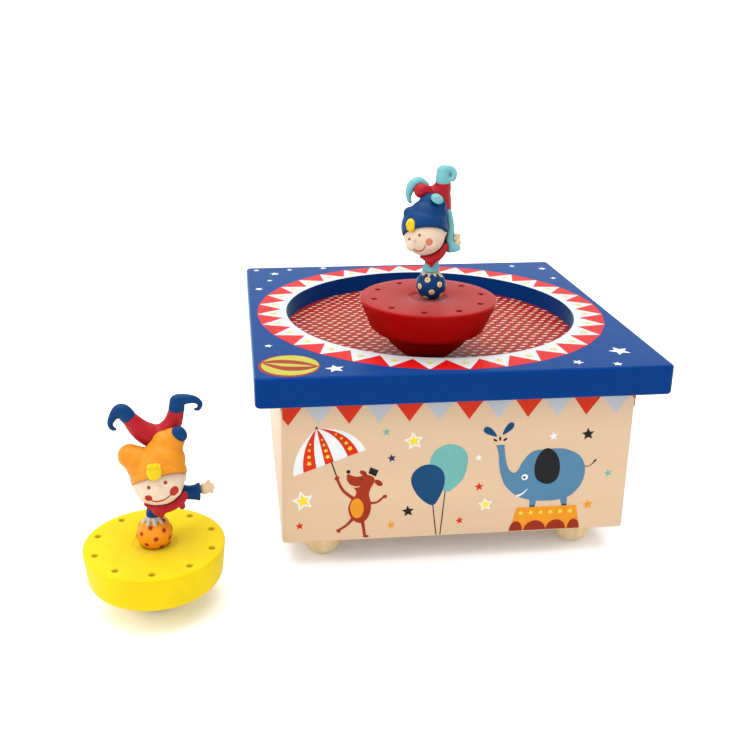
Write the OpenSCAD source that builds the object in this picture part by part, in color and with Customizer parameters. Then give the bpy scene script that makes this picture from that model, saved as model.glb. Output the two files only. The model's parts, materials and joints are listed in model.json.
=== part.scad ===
// Magnetic spinning-top music box: a wooden box with a sunken round stage, a wind-up
// musical movement that turns a magnet carrier under the stage, and two spinning tops.
// The origin is the centre of the box's footprint at table level, the printed front faces -Y.

/* [Box] */
// Width and depth of the box body
body_w = 140; // [132:2:150]
// Height of the side walls
wall_h = 62; // [62:1:80]
// Thickness of the side walls
wall_t = 8; // [6:1:10]
// Thickness of the bottom board
floor_t = 6; // [5:1:8]

/* [Top board] */
// Width and depth of the top board
board_w = 160; // [156:2:180]
// Thickness of the top board
board_t = 12; // [12:1:16]
// Radius of the round opening
opening_r = 63.7; // [60:0.1:64]
// Depth of the stage below the top face
stage_depth = 8; // [7:0.5:8]

/* [Feet] */
// Diameter of the ball feet
foot_d = 16.5; // [15:0.5:18]
// Height of the body above the table
foot_h = 12; // [11:0.5:13]
// Distance of the feet from the centre plane, left and right
foot_x = 53; // [50:1:54]
// Distance of the feet from the centre plane, front and back
foot_y = 57; // [50:1:58]

/* [Tops] */
// Diameter of the red top's face
red_d = 55.4; // [52:0.2:58]
// Diameter of the yellow top's face
yellow_d = 52.4; // [50:0.2:56]
// Height of a top's wooden base
top_h = 25.5; // [24:0.5:28]
// Radius of the circle that the magnets travel on
orbit_r = 39.5; // [36:1:42]
// Direction of the magnet carrier's first arm at rest, degrees
carrier_angle = 257.7; // [0:0.1:360]
// Number of dimples round a top's face
dimples = 10; // [6:1:14]

/* [Movement] */
// Number of teeth on the comb
comb_teeth = 18; // [12:1:22]
// Rows of pins round the music cylinder
pin_rows = 7; // [4:1:9]

/* [Hidden] */
$fn = 64;
eps = 0.05;                                  // running clearance on a radius
half_body = body_w / 2;
half_in = half_body - wall_t;                // inner face of the walls
floor_z = foot_h;                            // underside of the bottom board
bed_z = foot_h + floor_t;                    // top of the bottom board, where the bedplate lies
wall_top = foot_h + wall_h;
board_top = wall_top + board_t;
stage_z = board_top - stage_depth;           // top face of the stage disc
disc_t = board_t - stage_depth;
disc_r = 67.9;
key_hole_r = 23;
block_w = 18;
post_xy = half_in - block_w / 2;             // centre of a corner block
dowel_xy = 53;
mortise = 3;

// Movement heights and places
bed_t = 2;
mech_z = bed_z + bed_t;                      // top of the bedplate
arbor_r = 2.5;
ratchet_z = mech_z + 0.6;
ratchet_t = 1.4;
ratchet_r = 7;
barrel_z = ratchet_z + ratchet_t + 1;
barrel_r = 16;
barrel_h = 9;
crown_z = barrel_z + barrel_h;
crown_t = 1.5;
crown_m = 0.8;
crown_n = 45;
crown_r = crown_m * crown_n / 2;
pinion_n = 18;
pinion_r = crown_m * pinion_n / 2;
pitch_z = crown_z + crown_t + 0.8;           // pitch plane of the crown teeth
axis_z = pitch_z + pinion_r;                 // height of the music cylinder's axis
cyl_x0 = 26;
cyl_x1 = 46;
cyl_r = 6.5;
pin_h = 0.6;
wheel_m = 0.6;
wheel_n = 36;
gov_n = 12;
wheel_x = 48;
gov_y = -(wheel_m * (wheel_n + gov_n) / 2 + 0.1);
worm_n = 20;
worm_r = 6.4;                                // pitch radius of the worm wheel
worm_p = 2 * PI * worm_r / worm_n;
worm_x = wheel_x + 3.6;
worm_y = gov_y - worm_r - 1.55;
bar_z = 56;
bar_t = 5;
arm_z = 64;
magnet_z = 73.3;
click_at = [-13.2, -4.8];
cam_turn_red = -11.6;                        // way the red acrobat faces
cam_turn_yellow = 5.9;                       // way the yellow acrobat faces
red_at = [orbit_r * cos(carrier_angle), orbit_r * sin(carrier_angle)];
yellow_at = [-118.5, -87.1];
inv20 = tan(20) * 180 / PI - 20;

// ---- shared shapes ----

// Points along a circular arc
function arc(c, r, a0, a1, n = 6) = [for (i = [0:n]) c + r * [cos(a0 + (a1 - a0) * i / n),
    sin(a0 + (a1 - a0) * i / n)]];

module at_corners(x, y) {
    for (sx = [-1, 1], sy = [-1, 1]) translate([sx * x, sy * y, 0]) children();
}

module round_square(w, d, r) {
    at_corners(w / 2 - r, d / 2 - r) circle(r);
    square([w - 2 * r, d], center = true);
    square([w, d - 2 * r], center = true);
}

// A disc whose upper and lower rims are rounded
module soft_disc(r, t, e) {
    rotate_extrude($fn = 32) polygon(concat([[0, 0]], arc([r - e, e], e, -90, 0, 4),
        arc([r - e, t - e], e, 0, 90, 4), [[0, t]]));
}

module tube(r, r_in, h) {
    difference() {
        cylinder(r = r, h = h);
        translate([0, 0, -1]) cylinder(r = r_in, h = h + 2);
    }
}

// A countersunk screw pointing down from the origin, with a slot in its head
module screw(r, len, head_r, head_h) {
    difference() {
        union() {
            cylinder(r = head_r, h = head_h);
            translate([0, 0, -len]) cylinder(r = r, h = len + 0.1);
        }
        translate([-head_r, -0.3, head_h - 0.5]) cube([2 * head_r, 0.6, 1]);
    }
}

// Turns a shape drawn round Z so that its axis lies along +X
module along_x() {
    rotate([90, 0, 90]) children();
}

function half_angle(rho, rb, n, slack) = 90 / n - slack + inv20
    - (tan(acos(rb / rho)) * 180 / PI - acos(rb / rho));

// Outline of an involute spur gear of module m with n teeth, a tooth on the first axis
module gear(m, n, add = 0.85, ded = 1.25, slack = 0.12) {
    rp = m * n / 2;
    rb = rp * cos(20);
    ra = rp + add * m;
    rr = rp - ded * m;
    lost = slack / rp * 180 / PI;
    steps = 5;
    r0 = max(rb + 0.001, rr);
    flank = [for (i = [0:steps]) let (rho = r0 + (ra - r0) * i / steps)
        [rho, half_angle(rho, rb, n, lost)]];
    foot = [rr, half_angle(r0, rb, n, lost)];
    side = rr < r0 ? concat([foot], flank) : flank;
    polygon([for (k = [0:n - 1], s = [-1, 1], i = [0:len(side) - 1])
        let (p = side[s < 0 ? i : len(side) - 1 - i], a = 360 * k / n + s * p[1])
        p[0] * [cos(a), sin(a)]]);
}

// A limb through several points: a ball at each, and slightly thinner tapered rods between them
module limb(points, radii) {
    slim = 0.93;
    for (i = [0:len(points) - 1]) translate(points[i]) sphere(radii[i], $fn = 16);
    for (i = [0:len(points) - 2]) {
        d = points[i + 1] - points[i];
        translate(points[i]) rotate([0, acos(d[2] / norm(d)), atan2(d[1], d[0])])
            cylinder(r1 = slim * radii[i], r2 = slim * radii[i + 1], h = norm(d), $fn = 16);
    }
}

// ---- box ----

module top_board() color("steelblue") difference() {
    hull() at_corners(board_w / 2 - 2.5, board_w / 2 - 2.5) translate([0, 0, wall_top])
        soft_disc(2.5, board_t, 1.2);
    translate([0, 0, wall_top - 1]) cylinder(r = opening_r, h = board_t + 2, $fn = 128);
    translate([0, 0, wall_top - 1]) cylinder(r = disc_r + eps, h = disc_t + 1, $fn = 128);
    at_corners(dowel_xy, dowel_xy) translate([0, 0, wall_top - 1]) cylinder(r = 2.5 + eps, h = 7);
}

module stage_disc() color("crimson") translate([0, 0, wall_top]) cylinder(r = disc_r, h = disc_t, $fn = 128);

// A front or back wall: outer upright edges rounded, inner corners square so that the side
// walls butt against them, and a mortise for the cross bar
module long_panel(side) {
    difference() {
        translate([0, side * (half_body - wall_t / 2), floor_z]) linear_extrude(wall_h)
            round_square(body_w, wall_t, 1.5);
        translate([-7 - eps, side > 0 ? half_in - 1 : -half_in - mortise - eps, bar_z - eps])
            cube([14 + 2 * eps, mortise + 1 + eps, bar_t + 2 * eps]);
        }
    for (sx = [-1, 1]) translate([sx * (half_body - 0.75) - 0.75,
        side > 0 ? half_in : -half_in - 2, floor_z]) cube([1.5, 2, wall_h]);
}

module front_panel() color("peachpuff") long_panel(-1);

module back_panel() color("peachpuff") long_panel(1);

module side_panel(side) {
    translate([side > 0 ? half_in : -half_body, -half_in, floor_z])
        cube([wall_t, 2 * half_in, wall_h]);
}

module left_panel() color("peachpuff") side_panel(-1);

module right_panel() color("peachpuff") side_panel(1);

module bottom_board() color("burlywood") difference() {
    translate([-half_in, -half_in, floor_z]) cube([2 * half_in, 2 * half_in, floor_t]);
    translate([0, 0, floor_z - 1]) cylinder(r = key_hole_r, h = floor_t + 2);
    at_corners(foot_x, foot_y) translate([0, 0, floor_z - 1]) cylinder(r = 2 + eps, h = floor_t + 2);
    for (p = bed_screws) translate([p[0], p[1], bed_z - 4.5]) cylinder(r = 1 + eps, h = 6);
}

module corner_blocks() color("burlywood") difference() {
    at_corners(post_xy, post_xy) translate([-block_w / 2, -block_w / 2, bed_z])
        cube([block_w, block_w, wall_top - bed_z]);
    at_corners(foot_x, foot_y) translate([0, 0, bed_z - 1]) cylinder(r = 2 + eps, h = 11);
    at_corners(dowel_xy, dowel_xy) translate([0, 0, wall_top - 8]) cylinder(r = 2.5 + eps, h = 9);
}

module top_dowels() color("tan") at_corners(dowel_xy, dowel_xy)
    translate([0, 0, wall_top - 7.5]) cylinder(r = 2.5, h = 13);

// Wooden ball with a flat on top for the board and a small flat to stand on
module ball_feet() color("bisque") at_corners(foot_x, foot_y) difference() {
    translate([0, 0, 8]) sphere(d = foot_d);
    translate([-20, -20, foot_h]) cube([40, 40, 20]);
    translate([-20, -20, -20]) cube([40, 40, 20]);
    translate([0, 0, 4]) cylinder(r = 2 + eps, h = 20);
}

module foot_dowel_screws() color("silver") at_corners(foot_x, foot_y)
    translate([0, 0, 4.5]) cylinder(r = 2, h = bed_z + 9 - 4.5);

module cross_bar() color("burlywood") difference() {
    translate([-7, -half_in - mortise, bar_z]) cube([14, 2 * (half_in + mortise), bar_t]);
    translate([0, 0, bar_z - 1]) cylinder(r = 3.5 + eps, h = bar_t + 2);
}

module shaft_bushing() color("gold") translate([0, 0, bar_z]) difference() {
    union() {
        cylinder(r = 3.5, h = bar_t);
        translate([0, 0, bar_t]) cylinder(r = 5, h = 0.8);
    }
    translate([0, 0, -1]) cylinder(r = 2 + eps, h = bar_t + 4);
}

// ---- movement, fixed parts ----

bed_x0 = -28;
bed_x1 = 60;
bed_half_y = 33;
bed_screws = [[-24, -24], [-24, 24], [38, -28], [50, 28]];

module bedplate() color("goldenrod") difference() {
    translate([(bed_x0 + bed_x1) / 2, 0, bed_z]) linear_extrude(bed_t)
        round_square(bed_x1 - bed_x0, 2 * bed_half_y, 4);
    translate([0, 0, bed_z - 1]) cylinder(r = arbor_r + eps, h = bed_t + 2);
    for (p = bed_screws) translate([p[0], p[1], bed_z - 1]) cylinder(r = 1 + eps, h = bed_t + 2);
    for (p = bearing_screw_at) translate([p[0], p[1], bed_z - 1]) cylinder(r = 0.8 + eps, h = bed_t + 2);
    for (p = comb_screw_at) translate([p[0], p[1], bed_z - 1]) cylinder(r = 0.8 + eps, h = bed_t + 2);
    translate([click_at[0], click_at[1], bed_z - 1]) cylinder(r = 1.2 + eps, h = bed_t + 2);
}

module bedplate_screws() color("silver") for (p = bed_screws)
    translate([p[0], p[1], mech_z]) screw(1, 6, 2, 1.2);

inner_x = 21.2;
outer_x = 54;
plate_t = 1.6;
foot_t = 1.5;
bearing_screw_at = [[25.5, -9], [25.5, 9], [57.8, -22], [57.8, 9], [46.7, -29.6]];

// An upright plate with a foot that is screwed to the bedplate
module upright(x, y0, y1, top, foot_to) {
    translate([x, y0, mech_z]) cube([plate_t, y1 - y0, top - mech_z]);
    translate([x, y0, mech_z]) cube([foot_to - x, y1 - y0, foot_t]);
}

module foot_holes() {
    for (p = bearing_screw_at) translate([p[0], p[1], mech_z - 1]) cylinder(r = 0.8 + eps, h = foot_t + 2);
}

module inner_bearing() color("goldenrod") difference() {
    upright(inner_x, -11, 11, axis_z + 3.5, inner_x + 6.4);
    translate([inner_x - 1, 0, axis_z]) along_x() cylinder(r = 1 + eps, h = 4);
    foot_holes();
}

module outer_bearing() color("goldenrod") difference() {
    upright(outer_x, -24, 11, axis_z + 4, outer_x + 5.6);
    translate([outer_x - 1, 0, axis_z]) along_x() cylinder(r = 1 + eps, h = 4);
    translate([outer_x - 1, gov_y, axis_z]) along_x() cylinder(r = 0.8 + eps, h = 4);
    foot_holes();
}

module bearing_screws() color("silver") for (p = bearing_screw_at)
    translate([p[0], p[1], mech_z + foot_t]) screw(0.8, 3.4, 1.5, 0.9);

comb_z = axis_z - 0.9;
comb_t = 0.9;
comb_tip_y = cyl_r + pin_h + 0.3;
comb_screw_at = [[cyl_x0 + 4, 18], [cyl_x1 - 4, 18]];

module comb() color("silver") difference() {
    translate([cyl_x0, comb_tip_y, comb_z]) cube([cyl_x1 - cyl_x0, 22 - comb_tip_y, comb_t]);
    for (i = [1:comb_teeth - 1]) translate([cyl_x0 + (cyl_x1 - cyl_x0) * i / comb_teeth - 0.12,
        comb_tip_y - 1, comb_z - 1]) cube([0.24, 6 + i * 0.1, comb_t + 2]);
    for (p = comb_screw_at) translate([p[0], p[1], comb_z - 1]) cylinder(r = 0.8 + eps, h = comb_t + 2);
}

module comb_base() color("goldenrod") difference() {
    translate([cyl_x0, 14.5, mech_z]) cube([cyl_x1 - cyl_x0, 8, comb_z - mech_z]);
    for (p = comb_screw_at) translate([p[0], p[1], mech_z - 1]) cylinder(r = 0.8 + eps, h = comb_z);
}

module comb_screws() color("silver") for (p = comb_screw_at)
    translate([p[0], p[1], comb_z + comb_t]) screw(0.8, comb_z + comb_t - bed_z - 0.2, 1.8, 1);

frame_y = worm_y - 3.6;
lower_arm_z = 31;
upper_arm_z = 48.6;

// Holds the governor arbor's inner end and both ends of the worm
module governor_frame() color("goldenrod") difference() {
    union() {
        translate([44, frame_y - 1.4, mech_z]) cube([5.4, 1.4, upper_arm_z + 1.5 - mech_z]);
        translate([44, frame_y - 5.2, mech_z]) cube([5.4, 5.3, foot_t]);
        for (z = [lower_arm_z, upper_arm_z]) translate([44, frame_y - 0.1, z])
            cube([worm_x + 2 - 44, worm_y + 1.6 - frame_y, 1.4]);
        translate([44, frame_y - 0.1, axis_z - 3]) cube([1.4, gov_y + 3 - frame_y, 6]);
    }
    translate([43, gov_y, axis_z]) along_x() cylinder(r = 0.8 + eps, h = 4);
    translate([worm_x, worm_y, lower_arm_z - 1]) cylinder(r = 0.6 + eps, h = 25);
    foot_holes();
}

// ---- click work ----

module click_stud() color("silver") translate([click_at[0], click_at[1], bed_z]) union() {
    cylinder(r = 1.2, h = bed_t + 2.2);
    translate([0, 0, bed_t + 2.2]) cylinder(r = 2, h = 0.6);
}

// The pawl's tip stands just clear of the wheel's teeth, as it is when it rides over them
module click() color("slategray") translate([click_at[0], click_at[1], ratchet_z]) difference() {
    linear_extrude(ratchet_t) union() {
        circle(2.6);
        polygon([[-1.2, 2.2], [2.6, 0.6], [7.2, 10.3], [6.2, 11.2], [4.4, 10.6]]);
    }
    translate([0, 0, -1]) cylinder(r = 1.2 + eps, h = 5);
}

// A leaf spring on its own post, standing behind the click
module click_spring() color("silver") union() {
    translate([-22, 9, mech_z]) cylinder(r = 1.1, h = 2.2);
    translate([-22, 9, mech_z + 0.6]) rotate([0, 0, -27]) translate([0, -0.2, 0]) cube([7.2, 0.4, 1.4]);
}

// ---- winding body ----

module winding_arbor() color("silver") translate([0, 0, 7]) cylinder(r = arbor_r, h = barrel_z + 7 - 7);

// Butterfly key, its ears in an upright plane
module winding_key() color("goldenrod") difference() {
    union() {
        translate([0, 0, 6]) cylinder(r = 3.8, h = 10.5);
        for (s = [-1, 1]) translate([s * 9.5, 1.1, 9.6]) rotate([90, 0, 0]) cylinder(r = 6.4, h = 2.2);
        translate([-9, -1.1, 6.2]) cube([18, 2.2, 7]);
    }
    for (s = [-1, 1]) translate([s * 10, 3, 9.6]) rotate([90, 0, 0]) cylinder(r = 3, h = 6);
    translate([0, 0, 6.9]) cylinder(r = arbor_r + 0.02, h = 12);
}

module ratchet_wheel() color("silver") translate([0, 0, ratchet_z]) linear_extrude(ratchet_t) difference() {
    polygon([for (k = [0:23], j = [0, 1]) let (r = j == 0 ? ratchet_r : ratchet_r - 1, a = k * 15)
        r * [cos(a), sin(a)]]);
    circle(arbor_r + 0.02);
}

// ---- spring drive ----

module spring_barrel() color("goldenrod") translate([0, 0, barrel_z]) difference() {
    cylinder(r = barrel_r, h = barrel_h);
    translate([0, 0, 1]) cylinder(r = barrel_r - 1, h = barrel_h);
    translate([0, 0, -1]) cylinder(r = arbor_r + eps, h = 3);
}

// The barrel's cover, with upright teeth that drive the music cylinder's pinion
module crown_wheel() color("gold") translate([0, 0, crown_z]) difference() {
    union() {
        cylinder(r = crown_r + 1.6, h = crown_t);
        cylinder(r = 4, h = 5);
        for (k = [0:crown_n - 1]) rotate([0, 0, 360 * k / crown_n]) translate([crown_r - 1.1, 0, crown_t - 0.1])
            along_x() linear_extrude(2.2) polygon([[-0.75, 0], [0.75, 0], [0.24, 1.5], [-0.24, 1.5]]);
    }
    translate([0, 0, -1]) cylinder(r = 2 + 0.02, h = 8);
}

function coil(r0, pitch, turns, n) = [for (i = [0:turns * n]) (r0 + pitch * i / n)
    * [cos(360 * i / n), sin(360 * i / n)]];

module mainspring() color("slategray") translate([0, 0, barrel_z + 1.4]) linear_extrude(barrel_h - 2) {
    inner = coil(3.6, 1.35, 8, 20);
    outer = coil(4.0, 1.35, 8, 20);
    polygon(concat(inner, [for (i = [len(outer) - 1:-1:0]) outer[i]]));
}

module takeoff_shaft() color("silver") translate([0, 0, crown_z + 0.2]) cylinder(r = 2, h = 69 - crown_z);

module to_carrier() {
    rotate([0, 0, carrier_angle]) children();
}

module carrier_arm() color("goldenrod") to_carrier() difference() {
    union() {
        translate([-orbit_r, -5, arm_z]) cube([2 * orbit_r, 10, 1.6]);
        for (s = [-1, 1]) translate([s * orbit_r, 0, arm_z]) cylinder(r = 7, h = 1.6);
        translate([0, 0, arm_z - 1.4]) cylinder(r = 5, h = 6);
    }
    translate([0, 0, arm_z - 2]) cylinder(r = 2 + 0.02, h = 9);
    translate([0, 0, arm_z + 3.1]) along_x() cylinder(r = 0.75 + eps, h = 8);
}

module carrier_screw() color("silver") to_carrier() translate([2.1, 0, arm_z + 3.1]) along_x() difference() {
    cylinder(r = 0.75, h = 4.2);
    translate([-0.15, -1, 3.7]) cube([0.3, 2, 1]);
}

module at_magnets() {
    to_carrier() for (s = [-1, 1]) translate([s * orbit_r, 0, 0]) children();
}

module magnet_cups() color("silver") at_magnets() translate([0, 0, arm_z + 1.6]) difference() {
    cylinder(r = 7, h = 7.2);
    translate([0, 0, 1]) cylinder(r = 6 + 0.02, h = 8);
}

module carrier_magnets() color("dimgray") at_magnets() translate([0, 0, arm_z + 2.6])
    cylinder(r = 6, h = magnet_z - arm_z - 2.6);

// ---- music cylinder ----

// Pins stand in one ring per comb tooth, their angles set by a repeating rule
module music_cylinder() color("gold") translate([cyl_x0, 0, axis_z]) along_x() difference() {
    union() {
        cylinder(r = cyl_r, h = cyl_x1 - cyl_x0);
        for (i = [0:comb_teeth - 1], j = [0:pin_rows - 1])
            rotate([0, 0, 10 + j * 360 / pin_rows + (i * i * 29 + i * 47) % 50])
                translate([cyl_r - 0.5, 0, (cyl_x1 - cyl_x0) * (i + 0.5) / comb_teeth])
                    rotate([0, 90, 0]) cylinder(r = 0.22, h = 0.5 + pin_h, $fn = 6);
    }
    translate([0, 0, -1]) cylinder(r = 1 + 0.02, h = 40);
}

module cylinder_arbor() color("silver") translate([crown_r - 1.2, 0, axis_z]) along_x()
    cylinder(r = 1, h = outer_x + plate_t + 0.6 - crown_r + 1.2);

module cylinder_pinion() color("gold") translate([crown_r - 0.8, 0, axis_z]) along_x()
    linear_extrude(1.6) difference() {
        gear(crown_m, pinion_n);
        circle(1 + 0.02);
    }

module cylinder_wheel() color("gold") translate([wheel_x, 0, axis_z]) along_x()
    linear_extrude(1.5) difference() {
        gear(wheel_m, wheel_n);
        circle(1 + 0.02);
    }

// ---- governor ----

module governor_arbor() color("silver") translate([43.6, gov_y, axis_z]) along_x()
    cylinder(r = 0.8, h = outer_x + plate_t + 0.4 - 43.6);

module governor_pinion() color("gold") translate([wheel_x, gov_y, axis_z]) along_x()
    linear_extrude(1.5) difference() {
        rotate(180 / gov_n) gear(wheel_m, gov_n);
        circle(0.8 + 0.02);
    }

module worm_wheel() color("gold") translate([worm_x - 0.6, gov_y, axis_z]) along_x()
    linear_extrude(1.2) difference() {
        union() {
            circle(worm_r - 0.6);
            for (k = [0:worm_n - 1]) rotate(k * 360 / worm_n)
                polygon([[worm_r - 1, -0.4], [worm_r + 0.5, -0.22], [worm_r + 0.5, 0.22], [worm_r - 1, 0.4]]);
        }
        circle(0.8 + 0.02);
    }

// A right-hand thread made by an eccentric circle that turns as it rises
module governor_worm() color("silver") translate([worm_x, worm_y, 0]) union() {
    translate([0, 0, lower_arm_z - 0.6]) cylinder(r = 0.6, h = 26);
    translate([0, 0, axis_z - 4 * worm_p]) cylinder(r = 0.8, h = 7 * worm_p);
    translate([0, 0, axis_z - 1.5 * worm_p]) rotate(90)
        linear_extrude(3 * worm_p, twist = -3 * 360, slices = 42, $fn = 8) translate([0.75, 0]) circle(0.75);
}

module governor_fan() color("gold") translate([worm_x, worm_y, upper_arm_z + 2.2]) difference() {
    union() {
        cylinder(r = 1.5, h = 4.6);
        translate([-5, -0.2, 0]) cube([10, 0.4, 4.2]);
    }
    translate([0, 0, -1]) cylinder(r = 0.6 + 0.02, h = 8);
}

// ---- spinning tops ----

dimple_ring = 22.2;                          // radius of the ring of dimples
seat_r = 8.2;                                  // shallow dish round the ball
seat_d = 0.6;
top_magnet_r = 6;

// Half of a base's outline: a side that leans in by taper, a rounded shoulder, a bowl under it, then the foot
function base_profile(r, taper, shoulder, bowl) = let(c = [r - 4.4 - taper, shoulder]) concat([[0, 1], [8, 1]],
    arc([7.2, 4.6], 3.7, -75, -42, 4),
    [[c[0] - 4.4, c[1] - bowl], [c[0] - 2.2, c[1] - 5.8]],
    arc(c, 4.4, -75, -12, 6),
    arc([r - 0.7, top_h - 0.7], 0.7, -6, 90, 4),
    [[seat_r, top_h], [seat_r - 1.2, top_h - seat_d], [0, top_h - seat_d]]);

module base(r, taper, shoulder, bowl, shift) {
    difference() {
        rotate_extrude($fn = 96) polygon(base_profile(r, taper, shoulder, bowl));
        for (k = [0:dimples - 1]) rotate([0, 0, shift + 360 * k / dimples])
            translate([dimple_ring, 0, top_h - 0.9]) cylinder(r = 1.1, h = 2);
        cylinder(r = 2 + eps, h = 8);
        cylinder(r = top_magnet_r + 0.02, h = 5);
        translate([0, 0, top_h - 8]) cylinder(r = 1.5 + 0.02, h = 10);
    }
}

module foot_magnet() {
    translate([0, 0, 1]) tube(top_magnet_r, 2.4, 4);
}

// A steel pin that the top spins on, with a small flat at its tip
module pivot() {
    rotate_extrude() polygon(concat([[0, 0.02], [0.7, 0.02]], arc([0.6, 1.42], 1.4, -60, 0, 4), [[2, 7.5], [0, 7.5]]));
}

module dowel(top) {
    translate([0, 0, top_h - 7.5]) cylinder(r = 1.5, h = 7.5 - seat_d + top);
}

module at_red() {
    translate([red_at[0], red_at[1], stage_z]) children();
}

module at_yellow() {
    translate([yellow_at[0], yellow_at[1], 0]) children();
}

module red_base() color("firebrick") at_red() base(red_d / 2, 3.7, 16.2, 9.4, carrier_angle + 178);

module red_magnet() color("dimgray") at_red() foot_magnet();

module red_pivot() color("silver") at_red() pivot();

module red_dowel() color("tan") at_red() dowel(4.5);

module yellow_base() color("gold") at_yellow() base(yellow_d / 2, 1.0, 14.9, 7.4, -88);

module yellow_magnet() color("dimgray") at_yellow() foot_magnet();

module yellow_pivot() color("silver") at_yellow() pivot();

module yellow_dowel() color("tan") at_yellow() dowel(4.5);

// One acrobat on its ball, with a hole underneath for the dowel
module on_dowel(ball_r, ball_z) {
    difference() {
        union() {
            translate([0, 0, ball_z]) sphere(ball_r, $fn = 24);
            children();
        }
        translate([0, 0, -10]) cylinder(r = 1.5 + 0.02, h = 10 + 4.6 - seat_d);
        translate([-20, -20, -20 - seat_d]) cube([40, 40, 20]);
    }
}

module red_acrobat() color("turquoise") at_red() translate([0, 0, top_h]) rotate([0, 0, cam_turn_red])
    on_dowel(6, 5.4) {
        limb([[0.6, 0, 10.5], [1.8, 0.6, 16.5], [3.6, 3, 24], [2.4, 4, 41.5]], [3.5, 3.3, 5, 4]);
        translate([-2, -1.5, 26]) sphere(8.9, $fn = 24);
        limb([[-2.6, -0.4, 31.6], [-1, 0, 36], [1.5, 0.5, 40.4]], [8.3, 6.4, 2.8]);
        limb([[3.2, 4.2, 42], [4.8, 3.5, 49], [5.6, 2.2, 51]], [3.5, 3.1, 2.7]);
        limb([[1.2, 3.8, 43], [-3.4, 2, 44.9], [-7, 1, 45], [-8.1, 0.4, 39.6]], [2.7, 2.6, 2.1, 0.9]);
        limb([[6.5, 3, 34], [8.4, 1.5, 20.5], [11.2, 1, 23.6]], [1.5, 2, 1.5]);
    }

module yellow_acrobat() color("darkorange") at_yellow() translate([0, 0, top_h]) rotate([0, 0, cam_turn_yellow])
    on_dowel(6.6, 4.6) {
        limb([[0, 0, 11.5], [1.6, 0.6, 16], [6, 4, 24], [4, 5.4, 41.5]], [3.2, 3.4, 6, 4.6]);
        translate([2.8, -1.5, 25.5]) sphere(9.5, $fn = 24);
        limb([[2.8, -0.3, 31.5], [4.6, 0, 37], [9.6, 0, 42.2]], [9.3, 7.6, 3.8]);
        limb([[-1.5, 0, 35.4], [-8.8, 0, 38.6]], [5.2, 2.6]);
        limb([[3, 5, 44], [-5, 4.6, 50.4], [-9.4, 4, 53.6], [-12.2, 3.6, 48]], [3.3, 2.9, 2.3, 0.9]);
        limb([[5.4, 5.2, 43.5], [10.2, 5, 51.5], [10.4, 4.6, 55.8], [16.6, 4.2, 56], [18.2, 4, 53.2]],
            [3.4, 2.9, 2.7, 1.9, 0.9]);
        limb([[9, 3, 20], [17, 1.5, 18.9], [21, 1.5, 20.2]], [3, 3.5, 2.2]);
    }

top_board();
stage_disc();
front_panel();
back_panel();
left_panel();
right_panel();
bottom_board();
corner_blocks();
top_dowels();
ball_feet();
foot_dowel_screws();
cross_bar();
shaft_bushing();
bedplate();
bedplate_screws();
inner_bearing();
outer_bearing();
bearing_screws();
comb();
comb_base();
comb_screws();
governor_frame();
click();
click_stud();
click_spring();
winding_key();
winding_arbor();
ratchet_wheel();
spring_barrel();
crown_wheel();
mainspring();
takeoff_shaft();
carrier_arm();
carrier_screw();
magnet_cups();
carrier_magnets();
music_cylinder();
cylinder_arbor();
cylinder_pinion();
cylinder_wheel();
governor_arbor();
governor_pinion();
worm_wheel();
governor_worm();
governor_fan();
red_base();
red_magnet();
red_pivot();
red_dowel();
red_acrobat();
yellow_base();
yellow_magnet();
yellow_pivot();
yellow_dowel();
yellow_acrobat();
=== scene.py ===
# Looks of the magnetic music box: paints, woods and metals for the CAD pieces, the printed
# circus decoration, the turned tops with their dimples, and the two moulded acrobats.
import json
import math

import bmesh
import bpy
from mathutils import Euler, Matrix, Vector
from mathutils.bvhtree import BVHTree

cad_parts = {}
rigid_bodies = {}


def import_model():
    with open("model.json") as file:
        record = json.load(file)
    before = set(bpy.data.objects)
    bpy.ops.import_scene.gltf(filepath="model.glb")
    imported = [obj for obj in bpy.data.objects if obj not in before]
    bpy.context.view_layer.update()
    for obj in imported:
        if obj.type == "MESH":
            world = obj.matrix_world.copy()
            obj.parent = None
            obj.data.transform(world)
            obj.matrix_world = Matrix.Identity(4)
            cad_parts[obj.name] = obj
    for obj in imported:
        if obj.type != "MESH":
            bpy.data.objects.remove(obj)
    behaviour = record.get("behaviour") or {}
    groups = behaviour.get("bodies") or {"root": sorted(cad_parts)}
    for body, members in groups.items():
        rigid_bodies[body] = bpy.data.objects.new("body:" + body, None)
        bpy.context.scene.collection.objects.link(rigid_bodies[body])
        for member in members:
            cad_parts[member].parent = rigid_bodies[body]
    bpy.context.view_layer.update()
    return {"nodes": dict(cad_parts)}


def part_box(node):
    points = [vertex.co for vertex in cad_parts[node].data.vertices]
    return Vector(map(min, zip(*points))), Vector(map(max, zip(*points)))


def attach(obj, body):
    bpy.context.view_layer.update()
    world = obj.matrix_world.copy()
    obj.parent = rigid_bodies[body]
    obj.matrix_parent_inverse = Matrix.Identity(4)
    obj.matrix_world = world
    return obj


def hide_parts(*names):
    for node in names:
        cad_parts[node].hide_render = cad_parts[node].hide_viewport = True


for leftover in list(bpy.data.objects):
    bpy.data.objects.remove(leftover)
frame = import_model()
nodes = frame["nodes"]
mm = 0.001

cameraView = {
    "place": (-85.25, -409.08, 214.54),  # mm
    "azimuth": -6.03,
    "elevation": 18.74,
    "roll": 0.28,
    "lens": 47.76,
    "shift": 0.041,
}

studio = {
    "sky": 1.05,
    "floorTint": 0.9,
    "floorRadius": 6.0,
    "floorGlow": 0.12,
    "overheadPower": 22.0,
    "overheadSize": 1.5,
    "sidePower": 5.0,
    "sideSize": 0.8,
}


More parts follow.
